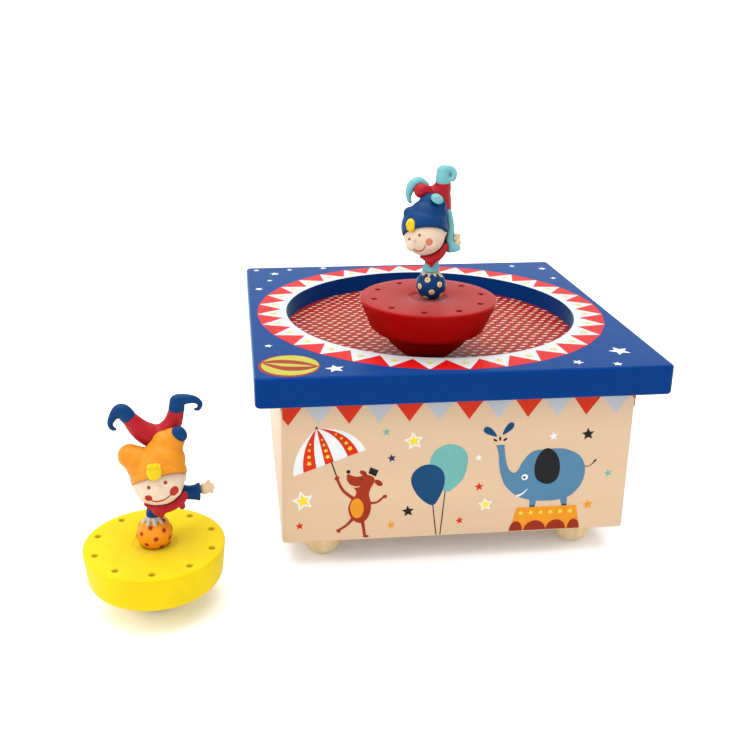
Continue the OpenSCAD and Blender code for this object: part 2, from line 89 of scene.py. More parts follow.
def placeCamera(view):
    azimuth = math.radians(view["azimuth"])
    elevation = math.radians(view["elevation"])
    roll = math.radians(view["roll"])
    flat = math.cos(elevation)
    back = Vector((math.sin(azimuth) * flat, -math.cos(azimuth) * flat, math.sin(elevation)))
    right = Vector((0, 0, 1)).cross(back).normalized()
    up = back.cross(right)
    sideways = math.cos(roll) * right + math.sin(roll) * up
    upright = math.cos(roll) * up - math.sin(roll) * right
    camera = bpy.data.objects.new("camera", bpy.data.cameras.new("camera"))
    turn = Matrix((sideways, upright, back)).transposed().to_4x4()
    camera.matrix_world = Matrix.Translation(Vector(view["place"]) * mm) @ turn
    camera.data.lens = view["lens"]
    camera.data.shift_x = view["shift"]
    camera.data.shift_y = -view["shift"]
    camera.data.clip_start = 0.01
    camera.data.clip_end = 50
    bpy.context.scene.collection.objects.link(camera)
    bpy.context.scene.camera = camera


def softLight(name, place, target, size, power):
    lamp = bpy.data.lights.new(name, "AREA")
    lamp.size = size
    lamp.energy = power
    holder = bpy.data.objects.new(name, lamp)
    aim = (Vector(target) - Vector(place)).to_track_quat("-Z", "Y")
    holder.matrix_world = Matrix.Translation(place) @ aim.to_matrix().to_4x4()
    bpy.context.scene.collection.objects.link(holder)


# the next helpers serve materials and Geometry Nodes trees alike
def put(tree, kind, inputs=None, **settings):
    node = tree.nodes.new(kind)
    for key, value in settings.items():
        setattr(node, key, value)
    for socket, value in (inputs or {}).items():
        if isinstance(value, bpy.types.NodeSocket):
            tree.links.new(value, node.inputs[socket])
        else:
            node.inputs[socket].default_value = value
    return node


def calc(tree, operation, *values):
    return put(tree, "ShaderNodeMath", dict(enumerate(values)), operation=operation).outputs[0]


def plus(tree, a, b):
    return calc(tree, "ADD", a, b)


def minus(tree, a, b):
    return calc(tree, "SUBTRACT", a, b)


def times(tree, a, b):
    return calc(tree, "MULTIPLY", a, b)


def over(tree, a, b):
    return calc(tree, "DIVIDE", a, b)


def xyz(tree, x=0.0, y=0.0, z=0.0):
    return put(tree, "ShaderNodeCombineXYZ", {0: x, 1: y, 2: z}).outputs[0]


def positionOf(tree):
    return put(tree, "GeometryNodeInputPosition").outputs[0]


def scatter(tree, points, shape, turn, size):
    inputs = {"Points": points.outputs[0], "Instance": shape.outputs[0], "Rotation": turn, "Scale": size}
    return put(tree, "GeometryNodeInstanceOnPoints", inputs).outputs[0]


def shifted(tree, shape, place=(0, 0, 0), turn=(0, 0, 0)):
    inputs = {"Geometry": shape, "Translation": place, "Rotation": turn}
    return put(tree, "GeometryNodeTransform", inputs).outputs[0]


def newTree(name, inputs):
    tree = bpy.data.node_groups.new(name, "GeometryNodeTree")
    kinds = {int: "NodeSocketInt", float: "NodeSocketFloat", tuple: "NodeSocketVector"}
    for label, value in inputs.items():
        if value is None:
            tree.interface.new_socket(label, in_out="INPUT", socket_type="NodeSocketMaterial")
        elif value == "mesh":
            tree.interface.new_socket(label, in_out="INPUT", socket_type="NodeSocketGeometry")
        else:
            socket = tree.interface.new_socket(label, in_out="INPUT", socket_type=kinds[type(value)])
            socket.default_value = value
    tree.interface.new_socket("Geometry", in_out="OUTPUT", socket_type="NodeSocketGeometry")
    return tree, tree.nodes.new("NodeGroupInput").outputs


def closeTree(tree, shape, paint, second=None, where=None):
    whole = put(tree, "GeometryNodeRealizeInstances", {0: shape})
    painted = put(tree, "GeometryNodeSetMaterial", {"Geometry": whole.outputs[0], "Material": paint})
    if second:
        painted = put(tree, "GeometryNodeSetMaterial", {"Geometry": painted.outputs[0], "Selection": where,
                "Material": second})
    put(tree, "NodeGroupOutput", {0: painted.outputs[0]})


def linkMesh(name, mesh):
    piece = bpy.data.objects.new(name, mesh)
    bpy.context.scene.collection.objects.link(piece)
    return piece


def runTree(name, tree, values, start=None):
    piece = linkMesh(name, start or bpy.data.meshes.new(name))
    modifier = piece.modifiers.new("build", "NODES")
    modifier.node_group = tree
    for item in tree.interface.items_tree:
        if item.in_out == "INPUT" and item.name in values:
            modifier[item.identifier] = values[item.name]
    return bakeModifiers(piece)


def bakeModifiers(piece):
    graph = bpy.context.evaluated_depsgraph_get()
    made = bpy.data.meshes.new_from_object(piece.evaluated_get(graph), depsgraph=graph)
    piece.modifiers.clear()
    piece.data = made
    made.name = piece.name
    return piece


def join(piece, body):
    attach(piece, body)


def linear(red, green, blue):
    return tuple((c / 255 / 12.92) if c < 11 else ((c / 255 + 0.055) / 1.055) ** 2.4
            for c in (red, green, blue)) + (1.0,)


def shade(colour, amount):
    return tuple(min(1.0, c * amount) for c in colour[:3]) + (1.0,)


def startMaterial(name, stretch=(1, 1, 1), centre=(0, 0, 0)):
    paint = bpy.data.materials.new(name)
    paint.use_nodes = True
    tree = paint.node_tree
    shader = tree.nodes["Principled BSDF"]
    where = put(tree, "ShaderNodeTexCoord").outputs["Object"]
    spot = put(tree, "ShaderNodeMapping", {"Vector": where, "Scale": stretch, "Location": centre})
    return paint, tree, shader, spot.outputs[0]


def noiseAt(tree, spot, size, detail=3.0, rough=0.5):
    # size is the width of one blotch in mm
    inputs = {"Vector": spot, "Scale": 1 / (size * mm), "Detail": detail, "Roughness": rough}
    return put(tree, "ShaderNodeTexNoise", inputs).outputs[0]


def between(tree, factor, low, high, start=0.3, end=0.7):
    inputs = {"Value": factor, "From Min": start, "From Max": end, "To Min": low, "To Max": high}
    return put(tree, "ShaderNodeMapRange", inputs).outputs[0]


def blendColours(tree, factor, first, second):
    inputs = {0: factor, 6: first, 7: second}
    return put(tree, "ShaderNodeMix", inputs, data_type="RGBA").outputs[2]


def mixed(tree, first, second, share):
    # two noises added in the shares 1 - share and share
    return plus(tree, times(tree, first, 1 - share), times(tree, second, share))


def cloudy(tree, tone, colour, low, high):
    return blendColours(tree, between(tree, tone, 0.0, 1.0), shade(colour, low), shade(colour, high))


def dress(tree, shader, colour, rough, height, depth, levels):
    # depth of the bump in mm; levels are constants set on the shader's own sockets
    tree.links.new(colour, shader.inputs["Base Color"])
    tree.links.new(rough, shader.inputs["Roughness"])
    bump = put(tree, "ShaderNodeBump", {"Height": height, "Distance": depth * mm, "Strength": 1.0})
    tree.links.new(bump.outputs[0], shader.inputs["Normal"])
    for socket, value in levels.items():
        shader.inputs[socket].default_value = value


def dusty(shine, dust, haze):
    return {"Specular IOR Level": shine, "Sheen Weight": dust, "Sheen Roughness": 0.3, "Sheen Tint": haze}


def paintedWood(name, colour, rough=0.36, shine=0.1, dust=0.1, haze=(1, 1, 1, 1), ripple=0.012, drift=0.9):
    # sprayed or printed lacquer over board: soft cloudiness, faint grain and orange peel
    paint, tree, shader, spot = startMaterial(name, (0.12, 1, 1))
    clouds = noiseAt(tree, spot, 16, 2)
    streaks = noiseAt(tree, spot, 1.1, 4, 0.6)
    peel = noiseAt(tree, put(tree, "ShaderNodeTexCoord").outputs["Object"], 1.6, 2)
    dress(tree, shader, cloudy(tree, mixed(tree, clouds, streaks, 0.35), colour, drift, 1.04),
          between(tree, streaks, rough - 0.05, rough + 0.06), plus(tree, times(tree, streaks, 0.6), peel),
          ripple, dusty(shine, dust, haze))
    return paint


def ink(name, colour, rough=0.4):
    # screen-printed ink: almost flat, with the fine speckle of the dots
    paint, tree, shader, spot = startMaterial(name)
    speckle = noiseAt(tree, spot, 0.5, 3, 0.7)
    clouds = noiseAt(tree, spot, 9, 2)
    dress(tree, shader, cloudy(tree, mixed(tree, speckle, clouds, 0.5), colour, 0.9, 1.05),
          between(tree, speckle, rough - 0.06, rough + 0.06), speckle, 0.006, {"Specular IOR Level": 0.12})
    return paint


def turnedLacquer(name, colour, centre, dimpleShadeColour, dust=0.0, rough=0.42, shine=0.035, haze=(1, 0.8, 0.8, 1)):
    # thick lacquer over a lathe-turned base: faint rings round the axis, brush clouding, orange peel, and
    # painted shade: the colour darkens toward the bottoms of the dimples
    paint, tree, shader, spot = startMaterial(name, (1, 1, 1), [-c * mm for c in centre])
    rings = put(tree, "ShaderNodeTexWave", {"Vector": spot, "Scale": 420, "Distortion": 0.6, "Detail": 2.0},
                wave_type="RINGS", rings_direction="Z").outputs[1]
    coat = cloudy(tree, noiseAt(tree, spot, 11, 3), colour, 0.93, 1.04)
    peel = noiseAt(tree, spot, 0.9, 2)
    # the dimple depth mask blends in a darker colour: painted shade in the dimples
    pressed = put(tree, "ShaderNodeAttribute", attribute_name="dimple").outputs["Fac"]
    dress(tree, shader, blendColours(tree, pressed, coat, dimpleShadeColour),
            between(tree, peel, rough - 0.05, rough + 0.07),
          plus(tree, times(tree, rings, 0.25), times(tree, peel, 0.8)), 0.02, dusty(shine, dust, haze))
    return paint


def rawWood(name, light, dark, along="X", rough=0.62, sheen=0.2):
    # long fibres along one axis, growth bands across it, and short dark pores
    stretch = {"X": (0.08, 1, 1), "Y": (1, 0.08, 1), "Z": (1, 1, 0.08)}[along]
    paint, tree, shader, spot = startMaterial(name, stretch)
    bands = noiseAt(tree, spot, 3.2, 3, 0.55)
    fibres = noiseAt(tree, spot, 0.5, 5, 0.7)
    wood = blendColours(tree, between(tree, mixed(tree, bands, fibres, 0.4), 0.0, 1.0), dark, light)
    pores = between(tree, noiseAt(tree, spot, 0.22, 1), 0.0, 1.0, 0.68, 0.78)
    dress(tree, shader, blendColours(tree, pores, wood, shade(dark, 0.6)),
          between(tree, fibres, rough - 0.1, rough + 0.12), minus(tree, fibres, pores), 0.04,
          {"Specular IOR Level": sheen})
    return paint


def resinPaint(name, colour, rough=0.42, shine=0.14, mottle=0.86):
    # hand-painted resin: brush clouding, tiny lumps, and painted shade: the colour is darkened in the
    # creases by an ambient occlusion node
    paint, tree, shader, spot = startMaterial(name)
    brush = noiseAt(tree, spot, 0.7, 4, 0.7)
    tone = mixed(tree, noiseAt(tree, spot, 3.5, 3, 0.6), brush, 0.4)
    # painted shade: ambient occlusion darkens the colour where shade falls in creases and between nearby
    # parts
    crease = put(tree, "ShaderNodeAmbientOcclusion", {"Distance": 1.6 * mm}, samples=6).outputs["AO"]
    paintedCreaseShade = between(tree, crease, 0.0, 1.0, 0.25, 0.8)
    dress(tree, shader, blendColours(tree, paintedCreaseShade, shade(colour, 0.42),
            cloudy(tree, tone, colour, mottle, 1.06)),
          between(tree, brush, rough - 0.08, rough + 0.1), tone, 0.12, {"Specular IOR Level": shine})
    return paint


def metal(name, colour, rough=0.3, brushed=(1, 1, 1), tarnish=0.8):
    # machined metal: fine tool marks across one axis and cloudy tarnish
    paint, tree, shader, spot = startMaterial(name, brushed)
    marks = noiseAt(tree, spot, 0.18, 4, 0.7)
    dress(tree, shader, cloudy(tree, noiseAt(tree, spot, 5, 3), colour, tarnish, 1),
          between(tree, marks, rough - 0.08, rough + 0.12), marks, 0.012, {"Metallic": 1.0})
    return paint


inkColours = {
    # the bunting's white is made greyer: painted shade for the shadow under the board's overhang
    "white": (210, 211, 212), "flagWhiteInShade": (166, 169, 173), "ringWhite": (182, 185, 187),
    "boardYellow": (160, 156, 52), "cream": (206, 184, 146), "paleYellow": (178, 174, 78),
    "yellow": (216, 194, 52), "orange": (208, 132, 24), "red": (190, 38, 2), "flagRed": (180, 16, 14),
    "rust": (134, 36, 8), "brown": (142, 40, 6), "teal": (98, 158, 152), "blue": (2, 60, 100),
    "navy": (26, 36, 80), "greyBlue": (72, 114, 143), "black": (14, 18, 22),
}
inks = {name: ink(name + "Ink", linear(*colour)) for name, colour in inkColours.items()}
boardBlue = paintedWood("boardBlue", (0.0, 0.028, 0.155, 1), 0.34, 0.035, 0.24, (0.25, 0.85, 1, 1), 0.006)
stageRed = paintedWood("stageRed", linear(136, 16, 22), 0.4, 0.12)
panelPeach = paintedWood("panelPeach", linear(196, 168, 138), 0.42, 0.15, 0.0, ripple=0.006, drift=0.95)
paleWood = rawWood("paleWood", linear(216, 194, 152), linear(192, 164, 118), "Z", 0.42, 0.25)
pineWood = rawWood("pineWood", linear(196, 160, 112), linear(160, 120, 76), "Y")
plyWood = rawWood("plyWood", linear(190, 156, 112), linear(158, 122, 80), "X")
brass = metal("brass", (0.78, 0.57, 0.24, 1), 0.28)
polishedBrass = metal("polishedBrass", (0.83, 0.62, 0.28, 1), 0.18, (0.1, 1, 1))
steel = metal("steel", (0.6, 0.6, 0.61, 1), 0.26, (0.1, 1, 1))
combSteel = metal("combSteel", (0.52, 0.52, 0.54, 1), 0.34, (1, 0.1, 1))
springSteel = metal("springSteel", (0.2, 0.24, 0.36, 1), 0.25, (0.1, 1, 1), 0.6)
nickel = metal("nickel", (0.46, 0.46, 0.47, 1), 0.16, tarnish=0.9)

cadPaints = {
    boardBlue: ["top_board"],
    stageRed: ["stage_disc"],
    panelPeach: ["front_panel", "back_panel", "left_panel", "right_panel"],
    plyWood: ["bottom_board"],
    pineWood: ["corner_blocks", "cross_bar", "top_dowels", "red_dowel", "yellow_dowel"],
    paleWood: ["ball_feet"],
    brass: ["bedplate", "shaft_bushing", "inner_bearing", "outer_bearing", "governor_frame", "crown_wheel",
            "cylinder_pinion", "cylinder_wheel", "governor_pinion", "worm_wheel", "governor_fan",
            "comb_base",
            "ratchet_wheel"],
    polishedBrass: ["music_cylinder", "spring_barrel"],
    combSteel: ["comb"],
    springSteel: ["mainspring", "click_spring"],
    steel: ["foot_dowel_screws", "bedplate_screws", "bearing_screws", "comb_screws", "click", "click_stud",
            "winding_key", "winding_arbor", "takeoff_shaft", "carrier_arm", "carrier_screw", "magnet_cups",
            "cylinder_arbor", "governor_arbor", "governor_worm", "red_pivot", "yellow_pivot"],
    nickel: ["carrier_magnets", "red_magnet", "yellow_magnet"],
}


def paintFrame():
    for paint, names in cadPaints.items():
        for name in names:
            slots = nodes[name].data.materials
            slots.clear()
            slots.append(paint)


# outlines of the printed motifs are in mm on their panel
def curveThrough(points, steps=6, closed=True):
    # a smooth line through given points
    made = []
    count = len(points)
    spans = count if closed else count - 1
    for i in range(spans):
        near = [points[(i + k) % count] if closed else points[min(max(i + k, 0), count - 1)]
                for k in (-1, 0, 1, 2)]
        a, b, c, d = (Vector(p) for p in near)
        for k in range(steps):
            t = k / steps
            made.append(0.5 * (2 * b + (c - a) * t + (2 * a - 5 * b + 4 * c - d) * t * t
                    + (3 * b - a - 3 * c + d) * t ** 3))
    if not closed:
        made.append(Vector(points[-1]))
    return [tuple(p) for p in made]


def oval(x, z, wide, tall, turn=0, steps=28):
    lean = math.radians(turn)
    made = []
    for k in range(steps):
        angle = math.tau * k / steps
        u, v = wide / 2 * math.cos(angle), tall / 2 * math.sin(angle)
        made.append((x + u * math.cos(lean) - v * math.sin(lean), z + u * math.sin(lean)
                + v * math.cos(lean)))
    return made


def starShape(x, z, size, turn=0, waist=0.45):
    made = []
    for k in range(10):
        angle = math.radians(90 + turn + 36 * k)
        reach = size / 2 * (1 if k % 2 == 0 else waist)
        made.append((x + reach * math.cos(angle), z + reach * math.sin(angle)))
    return made


def stroke(points, widths, steps=6):
    # a line that swells and thins, with round ends
    line = [Vector(p) for p in curveThrough(points, steps, closed=False)]
    count = len(line)
    left, right = [], []
    for i, p in enumerate(line):
        ahead = (line[min(i + 1, count - 1)] - line[max(i - 1, 0)]).normalized()
        share = i / (count - 1) * (len(widths) - 1)
        low = min(int(share), len(widths) - 2)
        half = (widths[low] + (widths[low + 1] - widths[low]) * (share - low)) / 2
        side = Vector((-ahead.y, ahead.x)) * half
        left.append(tuple(p + side))
        right.append(tuple(p - side))
        if i in (0, count - 1):
            tip = [tuple(p + ahead * half * (-0.9 if i == 0 else 0.9))]
            if i == 0:
                start = tip
            else:
                end = tip
    return start + right + end + left[::-1]


def haloStar(x, z, size, turn, colour):
    return [(starShape(x, z, size * 1.65, turn, 0.5), 1, "white"),
            (starShape(x, z, size * 1.15, turn), 2, colour)]


frontStars = [
    (-29.2, 58.6, 3.0, 8, "teal"), (-26.9, 47.3, 3.2, 10, "navy"), (-63.2, 19.2, 3.1, 5, "red"),
    (-26.5, 17.7, 3.2, 20, "orange"), (-19.8, 23.6, 4.6, 5, "black"), (1.4, 18.3, 3.0, 12, "red"),
    (8.7, 33.1, 3.4, 6, "red"), (7.9, 45.9, 2.7, 0, "white"), (37.7, 54.0, 3.4, 10, "white"),
    (51.8, 54.3, 4.8, 5, "black"), (61.7, 36.7, 3.0, 14, "teal"), (54.4, 22.8, 4.0, 8, "orange")]
frontHaloStars = [(-18.3, 54.3, 4.9, 8, "yellow"), (-61.8, 30.3, 5.6, 14, "yellow"),
        (11.7, 25.0, 3.8, 5, "yellow")]


def parasol():
    tip, hemLeft, hemRight = Vector((-56.4, 61.2)), Vector((-65.5, 41.2)), Vector((-37.2, 51.4))
    bowLeft, bowRight = Vector((-66.0, 52.0)), Vector((-42.0, 61.5))
    seams = [0, 0.14, 0.32, 0.44, 0.56, 0.75, 0.9, 1]

    def rib(share, along):
        bow = bowLeft.lerp(bowRight, share)
        hem = hemLeft.lerp(hemRight, share)
        return tip * (1 - along) ** 2 + bow * 2 * along * (1 - along) + hem * along ** 2

    shapes = []
    for panel, (low, high) in enumerate(zip(seams, seams[1:])):
        down = [tuple(rib(low, k / 10)) for k in range(11)]
        upward = [tuple(rib(high, k / 10)) for k in range(10, 0, -1)]
        shapes.append((down + upward, 2, "red" if panel % 2 else "white"))
        if panel % 2:
            for k, along in enumerate((0.42, 0.57, 0.72, 0.86)):
                x, z = rib((low + high) / 2, along)
                shapes.append((starShape(x, z, 1.1 + 0.42 * k, 10 * k), 3, "yellow"))
    shapes.append((oval(tip.x, tip.y + 0.2, 1.0, 1.0, 0, 12), 3, "black"))
    shapes.append((stroke([(-50.6, 46.6), (-47.8, 38.2)], [0.55, 0.5]), 1, "black"))
    return shapes


def dog():
    coat = [
        stroke([(-41.9, 30.4), (-46.0, 34.2), (-48.2, 38.9)], [1.5, 1.2, 1.1]),
        oval(-48.4, 39.6, 2.1, 1.7, 30, 16),
        stroke([(-36.0, 28.0), (-32.4, 28.3), (-29.9, 30.4)], [1.3, 0.9, 0.9]),
        oval(-29.3, 30.7, 1.9, 1.6, 20, 16),
        stroke([(-41.6, 21.8), (-44.4, 18.7), (-47.2, 16.8)], [1.6, 1.1, 1.1]),
        oval(-47.7, 16.2, 2.0, 1.5, -40, 16),
        stroke([(-38.2, 20.5), (-37.6, 17.0), (-37.2, 13.9)], [1.7, 1.2, 1.2]),
        oval(-36.6, 13.2, 2.4, 1.2, 0, 16),
        curveThrough([(-39.3, 19.3), (-42.4, 21.4), (-43.9, 25.6), (-42.8, 29.6), (-41.0, 31.8),
            (-40.8, 33.4),
            (-42.0, 35.4), (-44.0, 37.6), (-44.6, 39.6), (-44.1, 41.3), (-42.6, 40.5), (-40.4, 39.9),
            (-38.6, 40.2), (-36.4, 40.6), (-33.9, 39.4), (-33.6, 37.2), (-35.1, 34.4), (-35.6, 31.6),
            (-34.8, 28.2), (-35.0, 24.0), (-36.6, 20.6)], 4),
    ]
    ears = [oval(-38.0, 41.4, 3.2, 1.9, -32, 18), oval(-31.9, 36.8, 3.8, 2.2, -38, 18)]
    shapes = [(outline, 1, "brown") for outline in coat] + [(outline, 2, "rust") for outline in ears]
    shapes += [
        (oval(-40.4, 26.0, 5.4, 8.8, 4), 2, "orange"),
        (stroke([(-42.6, 36.1), (-41.0, 35.4), (-39.3, 35.7)], [0.2, 0.5, 0.2]), 2, "cream"),
        (oval(-43.9, 42.2, 1.6, 1.6, 0, 16), 2, "black"),
        (oval(-38.7, 38.6, 0.7, 0.8, 0, 12), 2, "black"),
        ([(-36.7, 41.1), (-32.6, 38.9), (-32.4, 39.5), (-36.5, 41.7)], 3, "cream"),
        ([(-36.0, 41.2), (-33.1, 39.6), (-32.0, 42.3), (-35.3, 43.8)], 3, "black"),
    ]
    return shapes


def balloons():
    return [
        (stroke([(-9.8, 26.0), (-8.9, 19.0), (-8.0, 12.4)], [0.4, 0.45, 0.45]), 1, "black"),
        (stroke([(-5.0, 32.0), (-5.7, 22.0), (-6.4, 12.4)], [0.4, 0.45, 0.45]), 1, "black"),
        (curveThrough([(-4.5, 31.6), (-9.5, 35.6), (-11.7, 42.0), (-10.4, 48.8), (-5.2, 52.2), (0.4, 51.0),
            (3.5, 46.6), (2.5, 38.2), (-1.0, 33.6)]), 2, "teal"),
        (curveThrough([(-10.1, 25.8), (-15.4, 29.6), (-18.6, 35.4), (-18.4, 40.0), (-14.8, 43.4),
            (-9.9, 43.6),
            (-6.2, 40.6), (-5.4, 35.4), (-7.2, 29.4)]), 3, "blue"),
    ]


def elephant():
    body = curveThrough([
        (15.1, 50.6), (15.9, 47.0), (16.3, 43.0), (17.2, 38.4), (19.4, 33.0), (24.2, 28.4), (29.6, 26.2),
        (35.0, 25.5), (41.0, 25.6), (46.4, 27.2), (50.6, 32.0), (51.9, 38.6), (49.4, 44.8), (43.0, 48.2),
        (36.0, 48.5), (29.6, 47.6), (25.8, 43.2), (24.3, 39.9), (22.4, 38.6), (20.2, 40.8), (18.8, 45.4),
        (17.8, 50.6)], 5)
    shapes = [
        (body, 2, "greyBlue"),
        ([(29.7, 27.0), (32.8, 27.0), (32.3, 23.2), (30.1, 23.2)], 1, "greyBlue"),
        ([(42.2, 27.0), (45.4, 27.4), (45.5, 23.2), (43.3, 23.2)], 1, "greyBlue"),
        ([(14.7, 50.3), (18.2, 50.3), (18.1, 51.0), (14.8, 51.0)], 3, "greyBlue"),
        (curveThrough([(35.8, 48.9), (32.4, 46.4), (30.9, 41.0), (32.0, 35.6), (36.4, 33.0), (40.4, 35.0),
            (41.4, 40.4), (39.6, 46.2)]), 3, "black"),
        (oval(27.2, 36.5, 2.7, 2.7, 0, 18), 3, "white"),
        (oval(27.0, 36.4, 1.1, 1.1, 0, 12), 4, "black"),
        (stroke([(24.6, 28.2), (26.8, 29.2), (28.6, 31.2)], [1.0, 0.6, 0.2]), 3, "white"),
        (stroke([(51.6, 40.2), (53.6, 40.3), (55.5, 42.2)], [0.4, 0.3, 0.5]), 1, "black"),
        (oval(55.7, 42.5, 1.6, 0.8, 45, 12), 2, "black"),
        (curveThrough([(14.8, 54.8), (12.6, 58.2), (10.2, 59.2), (9.2, 57.6), (10.8, 56.0)]), 1, "blue"),
        (curveThrough([(17.1, 55.4), (18.0, 58.6), (19.8, 60.6), (21.4, 60.0), (20.8, 57.8)]), 1, "blue"),
    ]
    shapes += [(oval(x, 23.3, 1.2, 0.8, 0, 10), 3, "black") for x in (30.5, 31.7, 43.9, 45.0)]
    shapes += [(oval(x, z, 1.9, 0.9, turn, 10), 2, "black")
               for x, z, turn in ((14.2, 53.2, -30), (16.1, 53.8, 90), (18.2, 53.4, 35))]
    return shapes


def podium():
    left, right, top, foot = 24.7, 49.5, 22.9, 12.3
    slant = 2.3
    shapes = [([(left - slant, foot), (right + slant, foot), (right, top), (left, top)], 1, "orange")]
    lobes = ((24.9, 5.6), (32.8, 9.2), (41.6, 8.4), (49.0, 5.2))
    for x, wide in lobes:
        arch = [(x + wide / 2 * math.cos(math.pi * k / 12), foot + 4.4 * math.sin(math.pi * k / 12))
                for k in range(13)]
        shapes.append((arch, 2, "rust"))
    shapes += [(starShape(26.7 + 4.1 * k, 20.3, 2.5, 8 * k), 2, "yellow") for k in range(6)]
    return shapes


def frontMotifs():
    shapes = parasol() + dog() + balloons() + elephant() + podium()
    shapes += [(starShape(x, z, size * 1.15, turn), 1, colour) for x, z, size, turn, colour in frontStars]
    for star in frontHaloStars:
        shapes += haloStar(*star)
    return shapes


def sideMotifs(plain=False):
    # the unseen sides carry the same stars and a pair of balloons; the left one has only stars, far back
    if plain:
        return [(starShape(x, z, size, turn), 1, colour) for x, z, size, turn, colour in frontStars
                if x < -22]
    shapes = [([(u + 6, v) for u, v in outline], layer, colour) for outline, layer, colour in balloons()]
    shapes += [(starShape(-x * 0.95, z, size, turn), 1, colour) for x, z, size, turn, colour in frontStars
               if not -22 < -x * 0.95 < 14]
    for x, z, size, turn, colour in frontHaloStars[:2]:
        shapes += haloStar(-x * 0.9, z - 4, size, turn, colour)
        shapes += haloStar(x * 0.8, z - 8, size, turn, colour)
    return shapes


def boardMotifs():
    x, y, wide = -66.5, -66.6, 23.4
    shapes = [(oval(x, y, wide, wide, 0, 48), 1, "rust"), (oval(x + 0.4, y + 0.5, wide - 1.6, wide - 2.0, 0,
            48), 2, "boardYellow")]
    shapes.append((curveThrough([(-76.6, -62.6), (-73.2, -60.4), (-67.8, -60.2), (-61.0, -62.8),
            (-55.4, -68.2),
            (-61.4, -66.0), (-67.5, -64.2), (-72.5, -63.4)], 5), 3, "rust"))
    shapes.append((curveThrough([(-76.4, -62.8), (-73.8, -67.0), (-68.3, -71.6), (-61.4, -71.9),
            (-55.6, -68.4),
            (-61.6, -68.2), (-68.6, -67.2), (-73.0, -64.6)], 5), 3, "rust"))
    stars = [(-75, 74, 3.6), (-40.5, 75.7, 4.2), (-74.7, 39.2, 4.4), (-73.4, -43.3, 3.6),
            (-49.5, -71.2, 7.6),
             (58.6, 71.3, 3.6), (72.8, 64.9, 4.6), (72.7, 46.3, 3.4), (64.6, -61.8, 9.0),
             (43.9, -72.8, 4.6),
             (58.4, -76.0, 4.0), (-66.0, 66.5, 5.2), (-58.0, 73.6, 3.4), (-69.0, 54.0, 3.2)]
    shapes += [(starShape(x, y, size, 20 * k), 1, "white") for k, (x, y, size) in enumerate(stars)]
    return shapes


# mm: how deep the ink sits in its panel, what each layer adds, and what keeps neighbours in a layer apart
printing = {"sunk": 0.05, "layer": 0.02, "apart": 0.0009}


def pressPrint(name, shapes, toPlace):
    # each motif is a closed slip of ink, sunk a little in its panel; later layers stand prouder
    colours = sorted({colour for _, _, colour in shapes})
    mesh = bpy.data.meshes.new(name)
    for colour in colours:
        mesh.materials.append(inks[colour])
    points, faces, picks = [], [], []
    for order, (outline, layer, colour) in enumerate(shapes):
        area = sum(a[0] * b[1] - b[0] * a[1] for a, b in zip(outline, outline[1:] + outline[:1]))
        loop = outline if area > 0 else outline[::-1]
        count, first = len(loop), len(points)
        proud = printing["layer"] * (layer + 0.5) + printing["apart"] * (order % 17)
        points += [toPlace(u, v, -printing["sunk"] - proud) for u, v in loop]
        points += [toPlace(u, v, proud) for u, v in loop]
        faces.append([first + k for k in range(count)][::-1])
        faces.append([first + count + k for k in range(count)])
        for k in range(count):
            after = (k + 1) % count
            faces.append([first + k, first + after, first + count + after, first + count + k])
        picks += [colours.index(colour)] * (count + 2)
    mesh.from_pydata([Vector(p) * mm for p in points], [], faces)
    mesh.polygons.foreach_set("material_index", picks)
    mesh.update()
    join(linkMesh(name, mesh), "box")


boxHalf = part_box("front_panel")[0].y / mm  # the front print's plane, a negative number
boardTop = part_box("top_board")[1].z / mm
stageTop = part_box("stage_disc")[1].z / mm
panelPlaces = {
    "front": (0, lambda u, v, w: (u, boxHalf - w, v)),
    "right": (90, lambda u, v, w: (-boxHalf + w, u, v)),
    "back": (180, lambda u, v, w: (-u, -boxHalf + w, v)),
    "left": (270, lambda u, v, w: (boxHalf - w, -u, v)),
}


# the flag ring round the stage: sizes in mm, turn in degrees
ring = {"inner": 63.75, "outer": 76.3, "flagTip": 66.0, "count": 32, "turn": 6.2, "starsAt": 69.6,
        "star": 4.2}


def flagRingTree():
    tree, given = newTree("flagRing", {
        "count": ring["count"], "inner": ring["flagTip"] * mm, "outer": (ring["outer"] + 0.05) * mm,
        "level": boardTop * mm, "thick": 0.08 * mm, "turn": math.radians(ring["turn"]), "paint": None})
    drop = minus(tree, given["outer"], given["inner"])
    middle = plus(tree, given["inner"], times(tree, drop, 2 / 3))
    pitch = over(tree, math.tau, given["count"])
    wide = times(tree, times(tree, given["outer"], 2.0), calc(tree, "SINE", times(tree, pitch, 0.5)))
    circle = put(tree, "GeometryNodeMeshCircle", {"Vertices": given["count"], "Radius": middle})
    flag = put(tree, "GeometryNodeMeshCylinder", {"Vertices": 3, "Radius": 1.0, "Depth": given["thick"]})
    angle = plus(tree, times(tree, put(tree, "GeometryNodeInputIndex").outputs[0], pitch), math.pi)
    size = xyz(tree, over(tree, drop, 1.5), over(tree, wide, math.sqrt(3)), 1.0)
    flags = scatter(tree, circle, flag, xyz(tree, z=angle), size)
    laid = shifted(tree, flags, xyz(tree, z=given["level"]), xyz(tree, z=given["turn"]))
    closeTree(tree, laid, given["paint"])
    return tree


# the bunting under the board, in metres; first is the middle of the first red and the first white flag
bunting = {"pitch": 0.0235, "wide": 0.0117, "drop": 0.0083, "top": 0.071, "edge": 0.0695, "thick": 0.0001}
# the white row's greyer white is painted shade, for the shadow under the board's overhang
buntingRows = {"red": {"first": -0.0673, "count": 7, "paint": inks["red"]},
        "white": {"first": -0.0556, "count": 6, "paint": inks["flagWhiteInShade"]}}


